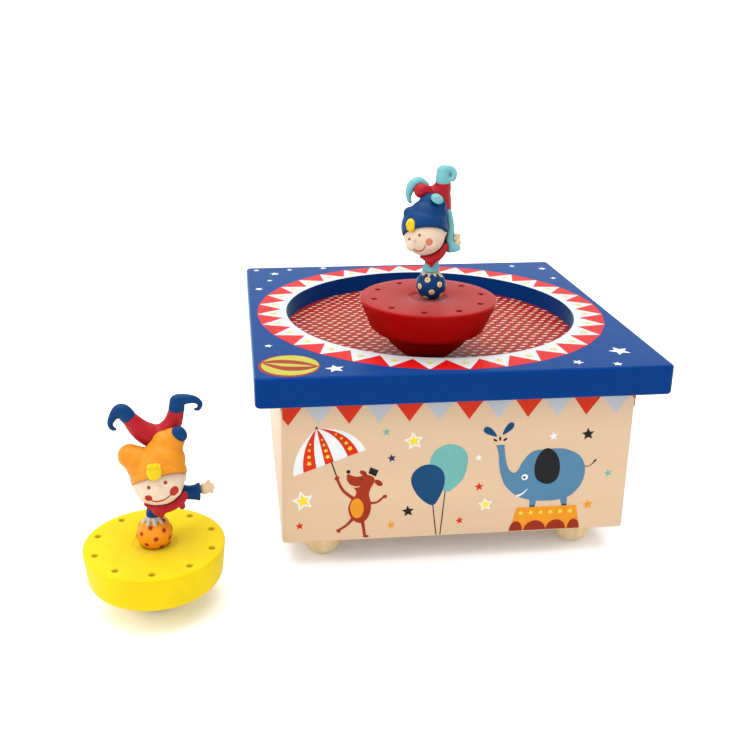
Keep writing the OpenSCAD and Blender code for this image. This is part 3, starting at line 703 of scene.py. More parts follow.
def buntingTree():
    tree, given = newTree("bunting", bunting | {"count": 7, "first": 0.0, "face": 0.07, "turn": 0.0,
            "paint": None})
    level = minus(tree, given["top"], over(tree, given["drop"], 3.0))
    front = times(tree, given["face"], -1.0)
    row = put(tree, "GeometryNodeMeshLine", {"Count": given["count"],
            "Start Location": xyz(tree, given["first"], front, level), "Offset": xyz(tree, given["pitch"])})
    flag = put(tree, "GeometryNodeMeshCylinder", {"Vertices": 3, "Radius": 1.0, "Depth": given["thick"]})
    size = xyz(tree, over(tree, given["drop"], 1.5), over(tree, given["wide"], math.sqrt(3)), 1.0)
    flags = scatter(tree, row, flag, (math.pi / 2, math.pi / 2, 0), size)
    real = put(tree, "GeometryNodeRealizeInstances", {0: flags})
    across = times(tree, given["edge"], 2.0)
    panel = put(tree, "GeometryNodeMeshCube", {"Size": xyz(tree, across, times(tree, given["face"], 3.0),
            0.4)})
    trimmed = put(tree, "GeometryNodeMeshBoolean", operation="INTERSECT")
    tree.links.new(real.outputs[0], trimmed.inputs["Mesh 2"])
    tree.links.new(panel.outputs[0], trimmed.inputs["Mesh 2"])
    turned = shifted(tree, trimmed.outputs[0], turn=xyz(tree, z=given["turn"]))
    closeTree(tree, turned, given["paint"])
    return tree


# the cream dashes on the stage, in metres and radians
dashing = {"across": 29, "deep": 40, "pitch": 0.0046, "row": 0.0033, "reach": 0.0632, "long": 0.0027,
           "wide": 0.00105, "lean": 0.12, "thick": 0.00006, "seed": 4}


def dashTree():
    tree, given = newTree("dashes", dashing | {"level": 0.078, "paint": None})
    wideAll = times(tree, given["pitch"], minus(tree, given["across"], 1.0))
    deepAll = times(tree, given["row"], minus(tree, given["deep"], 1.0))
    grid = put(tree, "GeometryNodeMeshGrid", {"Size X": wideAll, "Size Y": deepAll,
            "Vertices X": given["across"], "Vertices Y": given["deep"]})
    parts = put(tree, "ShaderNodeSeparateXYZ", {0: positionOf(tree)})
    rowNumber = calc(tree, "ROUND", plus(tree, over(tree, parts.outputs[1], given["row"]), 100.25))
    shift = times(tree, calc(tree, "MODULO", rowNumber, 2.0), times(tree, given["pitch"], 0.5))
    jitter = put(tree, "FunctionNodeRandomValue", {0: (-0.0003, -0.0002, 0), 1: (0.0003, 0.0002, 0),
            "Seed": given["seed"]}, data_type="FLOAT_VECTOR").outputs[0]
    offset = put(tree, "ShaderNodeVectorMath", {0: xyz(tree, shift), 1: jitter}, operation="ADD").outputs[0]
    moved = put(tree, "GeometryNodeSetPosition", {"Geometry": grid.outputs[0], "Offset": offset})
    far = put(tree, "ShaderNodeVectorMath", {0: positionOf(tree)}, operation="LENGTH").outputs["Value"]
    outside = calc(tree, "GREATER_THAN", far, given["reach"])
    kept = put(tree, "GeometryNodeDeleteGeometry", {"Geometry": moved.outputs[0], "Selection": outside},
               domain="POINT")
    dash = put(tree, "GeometryNodeMeshCylinder", {"Vertices": 10, "Radius": 0.5, "Depth": given["thick"]})
    sway = put(tree, "FunctionNodeRandomValue", {2: -0.25, 3: 0.25, "Seed": given["seed"]}).outputs[1]
    turn = xyz(tree, z=plus(tree, given["lean"], sway))
    dashes = scatter(tree, kept, dash, turn, xyz(tree, given["long"], given["wide"], 1.0))
    closeTree(tree, shifted(tree, dashes, xyz(tree, z=given["level"])), given["paint"])
    return tree


def spotTree():
    # spots spread evenly over a ball
    tree, given = newTree("ballSpots", {"count": 30, "ball": 0.006, "sink": 0.0001, "spot": 0.0009,
            "flat": 0.2, "turn": 0.0, "centre": (0.0, 0.0, 0.0), "paint": None})
    index = put(tree, "GeometryNodeInputIndex").outputs[0]
    height = minus(tree, 1.0, over(tree, plus(tree, times(tree, index, 2.0), 1.0), given["count"]))
    ring = calc(tree, "SQRT", minus(tree, 1.0, times(tree, height, height)))
    angle = plus(tree, times(tree, index, math.pi * (3 - math.sqrt(5))), given["turn"])
    way = xyz(tree, times(tree, ring, calc(tree, "COSINE", angle)),
              times(tree, ring, calc(tree, "SINE", angle)), height)
    sunk = minus(tree, given["ball"], given["sink"])
    place = put(tree, "ShaderNodeVectorMath", {0: way, "Scale": sunk}, operation="SCALE").outputs[0]
    points = put(tree, "GeometryNodePoints", {"Count": given["count"], "Position": place})
    bead = put(tree, "GeometryNodeMeshUVSphere", {"Segments": 14, "Rings": 6, "Radius": given["spot"]})
    aim = put(tree, "FunctionNodeAlignRotationToVector", {"Vector": positionOf(tree)}, axis="Z").outputs[0]
    spots = scatter(tree, points, bead, aim, xyz(tree, 1.0, 1.0, given["flat"]))
    closeTree(tree, shifted(tree, spots, given["centre"]), given["paint"])
    return tree


def dimpleTree():
    # presses a ring of round dimples into the face of a turned base, and stores their depth as the mask for
    # the painted shade in the dimples
    tree, given = newTree("dimples", {"base": "mesh", "count": 10, "ring": 0.022, "size": 0.0013,
            "deep": 0.0009,
            "face": 0.0255, "first": 0.0, "centre": (0.0, 0.0, 0.0), "paint": None, "facePaint": None})
    here = put(tree, "ShaderNodeVectorMath", {0: positionOf(tree),
            1: given["centre"]}, operation="SUBTRACT").outputs[0]
    parts = put(tree, "ShaderNodeSeparateXYZ", {0: here}).outputs
    pitch = over(tree, math.tau, given["count"])
    angle = minus(tree, calc(tree, "ARCTAN2", parts[1], parts[0]), given["first"])
    nearest = times(tree, calc(tree, "ROUND", over(tree, angle, pitch)), pitch)
    aim = plus(tree, nearest, given["first"])
    middle = xyz(tree, times(tree, calc(tree, "COSINE", aim), given["ring"]),
            times(tree, calc(tree, "SINE", aim), given["ring"]), parts[2])
    away = put(tree, "ShaderNodeVectorMath", {0: here, 1: middle}, operation="DISTANCE").outputs["Value"]
    share = over(tree, away, given["size"])
    bowl = calc(tree, "SQRT", calc(tree, "MAXIMUM", minus(tree, 1.0, times(tree, share, share)), 0.0))
    sink = times(tree, times(tree, bowl, given["deep"]), -1.0)
    onFace = calc(tree, "GREATER_THAN", parts[2], minus(tree, given["face"], 0.00005))
    pressed = put(tree, "GeometryNodeSetPosition", {"Geometry": given["base"], "Selection": onFace,
            "Offset": xyz(tree, z=sink)})
    high = calc(tree, "GREATER_THAN", parts[2], minus(tree, given["face"], 0.0012))
    # deeper in a dimple means more painted shade in the lacquer's colour
    depth = times(tree, calc(tree, "POWER", bowl, 0.6), high)
    marked = put(tree, "GeometryNodeStoreNamedAttribute", {"Geometry": pressed.outputs[0], "Name": "dimple",
            "Value": depth}, data_type="FLOAT")
    closeTree(tree, marked.outputs[0], given["paint"], given["facePaint"], high)
    return tree


def flatRing(name, inner, outer, level, proud, paint, segments=160):
    shape = bmesh.new()
    rings = []
    for radius, z in ((inner, level - 0.05), (outer, level - 0.05), (outer, level + proud),
            (inner, level + proud)):
        rings.append([shape.verts.new(Vector((radius * math.cos(math.tau * k / segments),
                radius * math.sin(math.tau * k / segments), z)) * mm) for k in range(segments)])
    for low, high in zip(rings, rings[1:] + rings[:1]):
        for k in range(segments):
            after = (k + 1) % segments
            shape.faces.new((low[k], low[after], high[after], high[k]))
    bmesh.ops.recalc_face_normals(shape, faces=shape.faces)
    mesh = bpy.data.meshes.new(name)
    shape.to_mesh(mesh)
    shape.free()
    mesh.materials.append(paint)
    return linkMesh(name, mesh)


def decorate():
    join(flatRing("ring_ground", ring["inner"], ring["outer"], boardTop, 0.02, inks["ringWhite"]), "box")
    join(runTree("ring_flags", flagRingTree(), {"paint": inks["flagRed"]}), "box")
    stars = []
    for k in range(ring["count"]):
        angle = math.tau * (k + 0.5) / ring["count"] + math.radians(ring["turn"])
        x, y = ring["starsAt"] * math.cos(angle), ring["starsAt"] * math.sin(angle)
        stars.append((starShape(x, y, ring["star"], math.degrees(angle) + 90), 2, "paleYellow"))
    join(runTree("stage_dashes", dashTree(), {"level": stageTop * mm, "paint": inks["cream"]}), "box")
    pressPrint("board_print", boardMotifs() + stars, lambda u, v, w: (u, v, boardTop + w))
    flags = buntingTree()
    motifs = {"front": frontMotifs(), "back": sideMotifs(), "left": sideMotifs(True), "right": sideMotifs()}
    for side, (turn, toPlace) in panelPlaces.items():
        pressPrint(side + "_print", motifs[side], toPlace)
        for colour, row in buntingRows.items():
            values = bunting | row | {"face": -boxHalf * mm, "turn": math.radians(turn)}
            join(runTree(f"{side}_bunting_{colour}", flags, values), "box")


def arcPoints(centre, radius, start, end, steps):
    return [(centre[0] + radius * math.cos(math.radians(start + (end - start) * k / steps)),
             centre[1] + radius * math.sin(math.radians(start + (end - start) * k / steps)))
            for k in range(steps + 1)]


# sizes of both tops in mm
topSize = {"height": 25.5, "dimples": 10, "dimpleRing": 22.2, "dimpleSize": 1.25, "dimpleDeep": 0.95,
           "seat": 8.2, "seatDeep": 0.6, "magnet": 6.02, "pivot": 2.05, "dowel": 1.52}


def baseProfile(size, radius, taper, shoulder, bowl):
    # half section from the pivot's bore down, round the outside and back to the dowel's hole
    height = size["height"]
    bend = (radius - 4.4 - taper, shoulder)
    inside = [(0, 8), (size["pivot"], 8), (size["pivot"], 5), (size["magnet"], 5), (size["magnet"], 1)]
    foot = [(8, 1)] + arcPoints((7.2, 4.6), 3.7, -75, -42, 6)
    round1 = arcPoints(bend, 4.4, -75, -12, 10)
    waist = curveThrough([foot[-1], (bend[0] - 4.4, bend[1] - bowl), (bend[0] - 2.2, bend[1] - 5.8),
            round1[0]], 3, closed=False)
    rim = arcPoints((radius - 0.7, height - 0.7), 0.7, -6, 90, 6)
    ring = size["dimpleRing"]
    fine = [(ring + 1.6 - 0.25 * k, height) for k in range(14)]
    seat = curveThrough([(size["seat"] + 0.6, height), (size["seat"], height - 0.12),
            (size["seat"] - 1.0, height - 0.5), (size["seat"] - 2.2, height - size["seatDeep"])], 3,
            closed=False)
    hole = [(size["dowel"], height - size["seatDeep"]), (size["dowel"], height - 8), (0, height - 8)]
    return inside + foot + waist[1:-1] + round1 + rim + fine + seat + hole


def lathe(name, profile, centre, segments=360):
    shape = bmesh.new()
    rings = []
    for radius, z in profile:
        if radius == 0:
            rings.append([shape.verts.new(Vector((centre[0], centre[1], centre[2] + z)) * mm)])
        else:
            rings.append([shape.verts.new(Vector((centre[0] + radius * math.cos(math.tau * k / segments),
                    centre[1] + radius * math.sin(math.tau * k / segments),
                    centre[2] + z)) * mm) for k in range(segments)])
    for low, high in zip(rings, rings[1:]):
        for k in range(segments):
            after = (k + 1) % segments
            corners = [low[k % len(low)], low[after % len(low)], high[after % len(high)],
                    high[k % len(high)]]
            shape.faces.new(list(dict.fromkeys(corners)))
    bmesh.ops.recalc_face_normals(shape, faces=shape.faces)
    mesh = bpy.data.meshes.new(name)
    shape.to_mesh(mesh)
    shape.free()
    return mesh


def turnBase(name, centre, form, first, sidePaint, facePaint, body, drills):
    mesh = lathe(name, baseProfile(topSize, *form), centre)
    piece = runTree(name, drills, {
        "count": topSize["dimples"], "ring": topSize["dimpleRing"] * mm, "size": topSize["dimpleSize"] * mm,
        "deep": topSize["dimpleDeep"] * mm, "face": topSize["height"] * mm, "first": math.radians(first),
        "centre": [c * mm for c in centre], "paint": sidePaint, "facePaint": facePaint}, mesh)
    piece.data.shade_smooth()
    piece.data.set_sharp_from_angle(angle=math.radians(38))
    join(piece, body)
    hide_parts(body.replace("_top", "_base"))


# the acrobats are built in mm with x to the right, y away and z up from the base's face
def limb(points, radii, steps=5, around=20):
    # a tapering round limb along a smooth line, with a ball at each end
    line = [Vector(p) for p in curveThrough(points, steps, closed=False)]
    thick = [r[0] for r in curveThrough([(r, 0, 0) for r in radii], steps, closed=False)]
    verts, faces = [], []
    side = Vector((0, 1, 0))
    count = len(line)
    for i, p in enumerate(line):
        ahead = (line[min(i + 1, count - 1)] - line[max(i - 1, 0)]).normalized()
        side = (side - ahead * side.dot(ahead)).normalized()
        other = ahead.cross(side)
        verts += [p + thick[i] * (side * math.cos(math.tau * k / around)
                + other * math.sin(math.tau * k / around)) for k in range(around)]
    for i in range(count - 1):
        for k in range(around):
            a, b = i * around + k, i * around + (k + 1) % around
            faces.append((a, b, b + around, a + around))
    faces.append(tuple(range(around))[::-1])
    faces.append(tuple((count - 1) * around + k for k in range(around)))
    return [(verts, faces)] + lump(line[0], (thick[0],) * 3) + lump(line[-1], (thick[-1],) * 3)


def lump(place, radii, turn=(0, 0, 0)):
    shape = bmesh.new()
    bmesh.ops.create_icosphere(shape, subdivisions=4, radius=1.0)
    lean = Euler([math.radians(a) for a in turn]).to_matrix()
    verts = [Vector(place) + lean @ Vector((v.co.x * radii[0], v.co.y * radii[1], v.co.z * radii[2]))
             for v in shape.verts]
    index = {v: i for i, v in enumerate(shape.verts)}
    faces = [tuple(index[v] for v in face.verts) for face in shape.faces]
    shape.free()
    return [(verts, faces)]


def meshFrom(name, forms):
    points, faces = [], []
    for verts, polygons in forms:
        first = len(points)
        points += [tuple(v) for v in verts]
        faces += [tuple(first + k for k in polygon) for polygon in polygons]
    mesh = bpy.data.meshes.new(name)
    mesh.from_pydata([Vector(p) * mm for p in points], [], faces)
    mesh.update()
    return mesh


def fuse(piece, grain, smooth):
    remesh = piece.modifiers.new("fuse", "REMESH")
    remesh.mode = "VOXEL"
    remesh.voxel_size = grain * mm
    remesh.use_smooth_shade = True
    soft = piece.modifiers.new("soften", "SMOOTH")
    soft.factor = 0.5
    soft.iterations = smooth
    return bakeModifiers(piece)


def cutBelow(piece, point, normal):
    # keeps what lies on the side that normal points to, and closes the cut
    shape = bmesh.new()
    shape.from_mesh(piece.data)
    geometry = shape.verts[:] + shape.edges[:] + shape.faces[:]
    bmesh.ops.bisect_plane(shape, geom=geometry, plane_co=Vector(point) * mm, plane_no=Vector(normal),
            clear_inner=True)
    rim = [edge for edge in shape.edges if edge.is_boundary]
    bmesh.ops.holes_fill(shape, edges=rim, sides=0)
    bmesh.ops.triangulate(shape, faces=[face for face in shape.faces if len(face.verts) > 4])
    bmesh.ops.recalc_face_normals(shape, faces=shape.faces)
    shape.to_mesh(piece.data)
    shape.free()


def sculpt(name, forms, paint, cuts=(), grain=0.32, smooth=5):
    piece = linkMesh(name, meshFrom(name, [form for group in forms for form in group]))
    fuse(piece, grain, 2 if cuts else smooth)
    for point, normal in cuts:
        cutBelow(piece, point, normal)
    if cuts:
        fuse(piece, grain * 0.9, smooth)
    piece.data.materials.clear()
    piece.data.materials.append(paint)
    return piece


def onSurface(piece, look):
    # finds where a sight line tilted down by look meets the piece; x and z are on the plane y = 0
    tree = BVHTree.FromPolygons([v.co / mm for v in piece.data.vertices],
            [p.vertices[:] for p in piece.data.polygons])
    way = Vector((0, math.cos(math.radians(look)), -math.sin(math.radians(look))))

    def find(x, z):
        place, normal, _, _ = tree.ray_cast(Vector((x, 0, z)) - way * 40, way)
        return place, normal
    return find


def patch(name, find, rows, paint, proud=0.07, wrap=True, sunk=0.25):
    # a painted patch that follows the surface under it; rows of (x, z) points, each the same length
    top, under = [], []
    for row in rows:
        hits = [find(x, z) for x, z in row]
        top.append([place + normal * proud for place, normal in hits])
        under.append([place - normal * sunk for place, normal in hits])
    high, wide = len(rows), len(rows[0])
    points = [p for row in top for p in row] + [p for row in under for p in row]
    low = high * wide
    faces = []
    for i in range(high - 1):
        for k in range(wide if wrap else wide - 1):
            after = (k + 1) % wide
            a, b, c, d = i * wide + k, i * wide + after, (i + 1) * wide + after, (i + 1) * wide + k
            faces += [(a, b, c, d), (low + d, low + c, low + b, low + a)]
    rim = [(high - 1) * wide + k for k in range(wide)]
    if not wrap:  # a line has two rows: along one edge and back along the other
        rim = list(range(wide)) + rim[::-1]
    for a, b in zip(rim, rim[1:] + rim[:1]):
        faces.append((a, b, low + b, low + a))
    mesh = meshFrom(name, [(points, faces)])
    shape = bmesh.new()
    shape.from_mesh(mesh)
    bmesh.ops.remove_doubles(shape, verts=shape.verts, dist=1e-7)
    bmesh.ops.recalc_face_normals(shape, faces=shape.faces)
    shape.to_mesh(mesh)
    shape.free()
    mesh.materials.append(paint)
    return linkMesh(name, mesh)


def dotRows(x, z, wide, tall, turn=0, rings=3, steps=20):
    lean = math.radians(turn)
    rows = []
    for i in range(rings + 1):
        share = i / rings
        row = []
        for k in range(steps):
            angle = math.tau * k / steps
            u, v = share * wide / 2 * math.cos(angle), share * tall / 2 * math.sin(angle)
            row.append((x + u * math.cos(lean) - v * math.sin(lean), z + u * math.sin(lean)
                    + v * math.cos(lean)))
        rows.append(row)
    return rows


def lineRows(points, width):
    outline = stroke(points, [width * 0.5, width, width * 0.5])
    half = len(outline) // 2
    right, left = outline[1:half], outline[half + 1:][::-1]
    count = min(len(right), len(left))
    return [[right[k] for k in range(count)], [left[k] for k in range(count)]]


figurePaints = {
    "skin": resinPaint("skin", linear(202, 180, 158), 0.5, 0.12, 0.95),
    "bareHand": resinPaint("bareHand", linear(200, 172, 136), 0.5, 0.12, 0.9),
    "blue": resinPaint("figureBlue", (0.0, 0.034, 0.13, 1), 0.36, 0.1, 0.72),
    "red": resinPaint("figureRed", linear(158, 16, 26), 0.42, 0.16, 0.8),
    "turquoise": resinPaint("turquoise", linear(100, 160, 166), 0.42, 0.16, 0.88),
    "orange": resinPaint("figureOrange", linear(200, 124, 20), 0.38, 0.16, 0.86),
    "ball": resinPaint("ballOrange", linear(226, 138, 20), 0.38, 0.16, 0.88),
    "yellow": resinPaint("figureYellow", linear(206, 176, 12), 0.4, 0.16, 0.86),
    "glove": resinPaint("glove", linear(184, 174, 158), 0.5, 0.12, 0.84),
    "dot": resinPaint("paleDot", linear(206, 188, 130), 0.45, 0.14),
    "dotHeart": resinPaint("dotHeart", linear(198, 120, 24), 0.45, 0.14),
    "redDot": resinPaint("redDot", linear(168, 14, 12), 0.45, 0.14),
    "dotRim": resinPaint("dotRim", linear(204, 132, 34), 0.45, 0.14),
    "coral": resinPaint("coral", linear(190, 112, 88), 0.5, 0.12),
    "lips": resinPaint("lips", linear(160, 44, 22), 0.5, 0.12),
    "eye": resinPaint("eyePaint", linear(138, 54, 36), 0.35, 0.2),
}


def fingers(middle, reach, thick, ways, curl=0.0):
    # fingers that fan out from the middle of a hand, in the hand's own plane
    made = []
    for way in ways:
        direction = Vector(way).normalized()
        tip = Vector(middle) + direction * reach + Vector((0, 0, -curl))
        knuckle = Vector(middle) + direction * reach * 0.55
        made.append(limb([middle, knuckle, tip], [thick * 1.1, thick, thick * 0.8], 3, 12))
    return made


# each acrobat: ball in mm, the tilt its face is painted along and its turn on the base in degrees; spots
# on the
# ball are name, how many, radius in mm, flatness, paint and turn
acrobats = {
    "red": {"ballAt": (1.1, 0, 5.0), "ball": 6.05, "look": 12.5, "turn": -11.6,
            "spots": [("spots", 20, 1.2, 0.16, "dot", 0.9), ("spot_hearts", 20, 0.7, 0.38, "dotHeart",
            0.9)]},
    "yellow": {"ballAt": (0.3, 0, 4.0), "ball": 6.6, "look": 26.9, "turn": 5.9,
        "spots": [("spot_rims", 28, 1.2, 0.13, "dotRim", 1.2), ("spots", 28, 0.92, 0.24, "redDot", 1.2)]},
}


def ballFor(colour):
    return lump(acrobats[colour]["ballAt"], (acrobats[colour]["ball"],) * 3)


def redFigure():
    paint = figurePaints
    brim = ((-2.2, -1.2, 25.4), (-0.12, 0.65, 1.0))
    pieces = [
        sculpt("red_body", [
            limb([(1.5, 1.5, 15.5), (3.0, 4.5, 21), (3.6, 5.4, 30), (3.6, 5.0, 38), (3.2, 4.6, 41.5)],
            [2.8, 4.4, 4.6, 4.3, 4.2]),
            limb([(3.4, 4.5, 40.5), (4.2, 4.0, 43.5), (4.3, 3.6, 46.2)], [4.1, 3.4, 3.0]),
            limb([(1.6, 5.0, 40.0), (-1.6, 3.4, 41.6), (-4.1, 2.0, 42.6)], [3.6, 3.0, 2.9])], paint["red"]),
        sculpt("red_shoe_up", [
            limb([(4.3, 3.5, 46.6), (4.3, 3.4, 48.6), (4.2, 3.3, 50.2)], [3.05, 2.9, 2.5]),
            limb([(4.0, 3.3, 50.2), (6.8, 2.9, 51.2), (8.5, 2.4, 49.9), (8.3, 1.9, 47.6), (6.9, 1.6, 47.3)],
            [2.4, 1.5, 1.15, 0.95, 0.75])], paint["turquoise"]),
        sculpt("red_shoe_bent", [
            limb([(-2.6, 4.6, 44.6), (-5.2, 4.4, 45.8), (-7.6, 4.0, 44.4), (-8.9, 3.4, 41.6),
                (-8.9, 2.8, 39.2),
            (-8.3, 2.5, 37.9)], [1.5, 2.0, 2.1, 1.5, 1.0, 0.7])], paint["turquoise"]),
        sculpt("red_sleeve", [
            limb([(0.8, 0, 10.8), (0.9, 0.1, 12.6), (1.4, 0.8, 16.4)], [3.55, 3.0, 2.7])],
                paint["turquoise"],
            [((0, 0, 10.9), (0, 0, 1))]),
        sculpt("red_glove", [lump((0.9, 0, 10.3), (3.3, 3.1, 1.3))] + fingers(
            (0.9, 0, 10.4), 3.7, 0.85, [(1, -0.5, 0), (0.5, -1, 0), (-0.2, -1, 0), (-0.85, -0.7, 0),
            (-1, 0.2, 0)],
            0.7), paint["glove"], grain=0.26),
        sculpt("red_arm", [
            limb([(7.0, 2.2, 34.2), (7.9, 1.6, 29.0), (8.0, 1.2, 24.0), (8.6, 0.8, 20.6)],
                [1.35, 1.6, 1.75, 2.0]),
            limb([(8.3, 0.8, 21.6), (9.4, 0.6, 19.9)], [1.9, 2.9])], paint["turquoise"],
            [((8.9, 0.6, 18.9), (-0.22, 0, 1))]),
        sculpt("red_hand", [lump((10.8, 0.3, 22.4), (1.4, 1.1, 2.0), (0, 12, 0))] + fingers(
            (10.8, 0.3, 22.8), 3.2, 0.55, [(-0.3, 0, 1), (0.0, 0, 1), (0.32, 0, 1)]) + fingers(
            (10.7, 0.3, 21.6), 2.0, 0.5, [(0.9, 0, 0.7)]), paint["bareHand"], grain=0.22),
        sculpt("red_neckerchief", [
            limb([(-3.0, -3.4, 17.3), (0.4, -4.2, 16.9), (3.6, -3.4, 18.2), (5.9, -1.2, 21.0)],
            [0.8, 1.7, 1.9, 1.6]),
            limb([(0.6, -4.0, 16.4), (0.8, -4.1, 15.0), (0.9, -4.0, 13.6)], [2.3, 1.5, 0.5])], paint["red"],
            grain=0.26, smooth=3),
        sculpt("red_head", [
            lump((-2.2, -1.5, 26.2), (8.2, 8.2, 8.7)), lump((-0.2, -6.6, 23.6), (3.2, 2.6, 3.0)),
            lump((-6.6, -6.0, 22.6), (2.8, 2.4, 2.6)), lump((-6.4, -8.9, 25.4), (0.8, 0.9, 0.75)),
            lump((5.6, -1.6, 27.2), (1.0, 1.4, 1.7))], paint["skin"], grain=0.28, smooth=4),
        sculpt("red_hat", [
            lump((-2.3, -1.2, 29.0), (9.3, 9.2, 8.9)),
            limb([(-1.6, -0.6, 32.5), (-1.0, -0.2, 35.5), (-0.6, 0.2, 37.6)], [7.4, 6.0, 4.5]),
            limb([(-5.6, -1.2, 31.0), (-8.0, -1.2, 34.0)], [5.0, 2.9]),
            limb([(1.6, -0.5, 34.0), (3.2, -1.2, 37.6)], [5.0, 2.8])], paint["blue"], [brim], smooth=14),
        sculpt("red_hat_knob", [lump((-7.6, -7.8, 30.8), (2.1, 1.5, 2.7), (0, 0, -38))] + [
            lump((-8.0 + 1.2 * math.cos(k), -9.0, 30.8 + 1.7 * math.sin(k)), (0.45, 0.5, 0.45))
                for k in range(6)],
            paint["yellow"], grain=0.22, smooth=2),
        sculpt("red_bobble", [lump((2.2, -4.2, 40.7), (2.6, 1.2, 1.9), (-20, 28, 0))] + [
            lump((2.2 + 1.3 * math.cos(k * 1.2), -5.0, 40.7 + 0.9 * math.sin(k * 1.2)), (0.5, 0.5, 0.5))
            for k in range(5)], paint["turquoise"], grain=0.22, smooth=2),
    ]
    find = onSurface(bpy.data.objects["red_head"], acrobats["red"]["look"])
    face = [
        patch("red_eye_left", find, dotRows(-8.0, 23.6, 0.8, 1.1), paint["eye"]),
        patch("red_eye_right", find, dotRows(-4.1, 25.3, 1.0, 1.2), paint["eye"]),
        patch("red_cheek", find, dotRows(-0.3, 22.7, 2.8, 2.9), paint["coral"], 0.05),
        patch("red_smile", find, lineRows([(-6.2, 19.7), (-4.2, 18.9), (-2.4, 19.7), (-1.7, 21.5)], 0.38),
              paint["lips"], 0.1, False),
    ]
    ball = sculpt("red_ball", [ballFor("red")], paint["blue"], grain=0.3, smooth=1)
    return pieces + face, ball


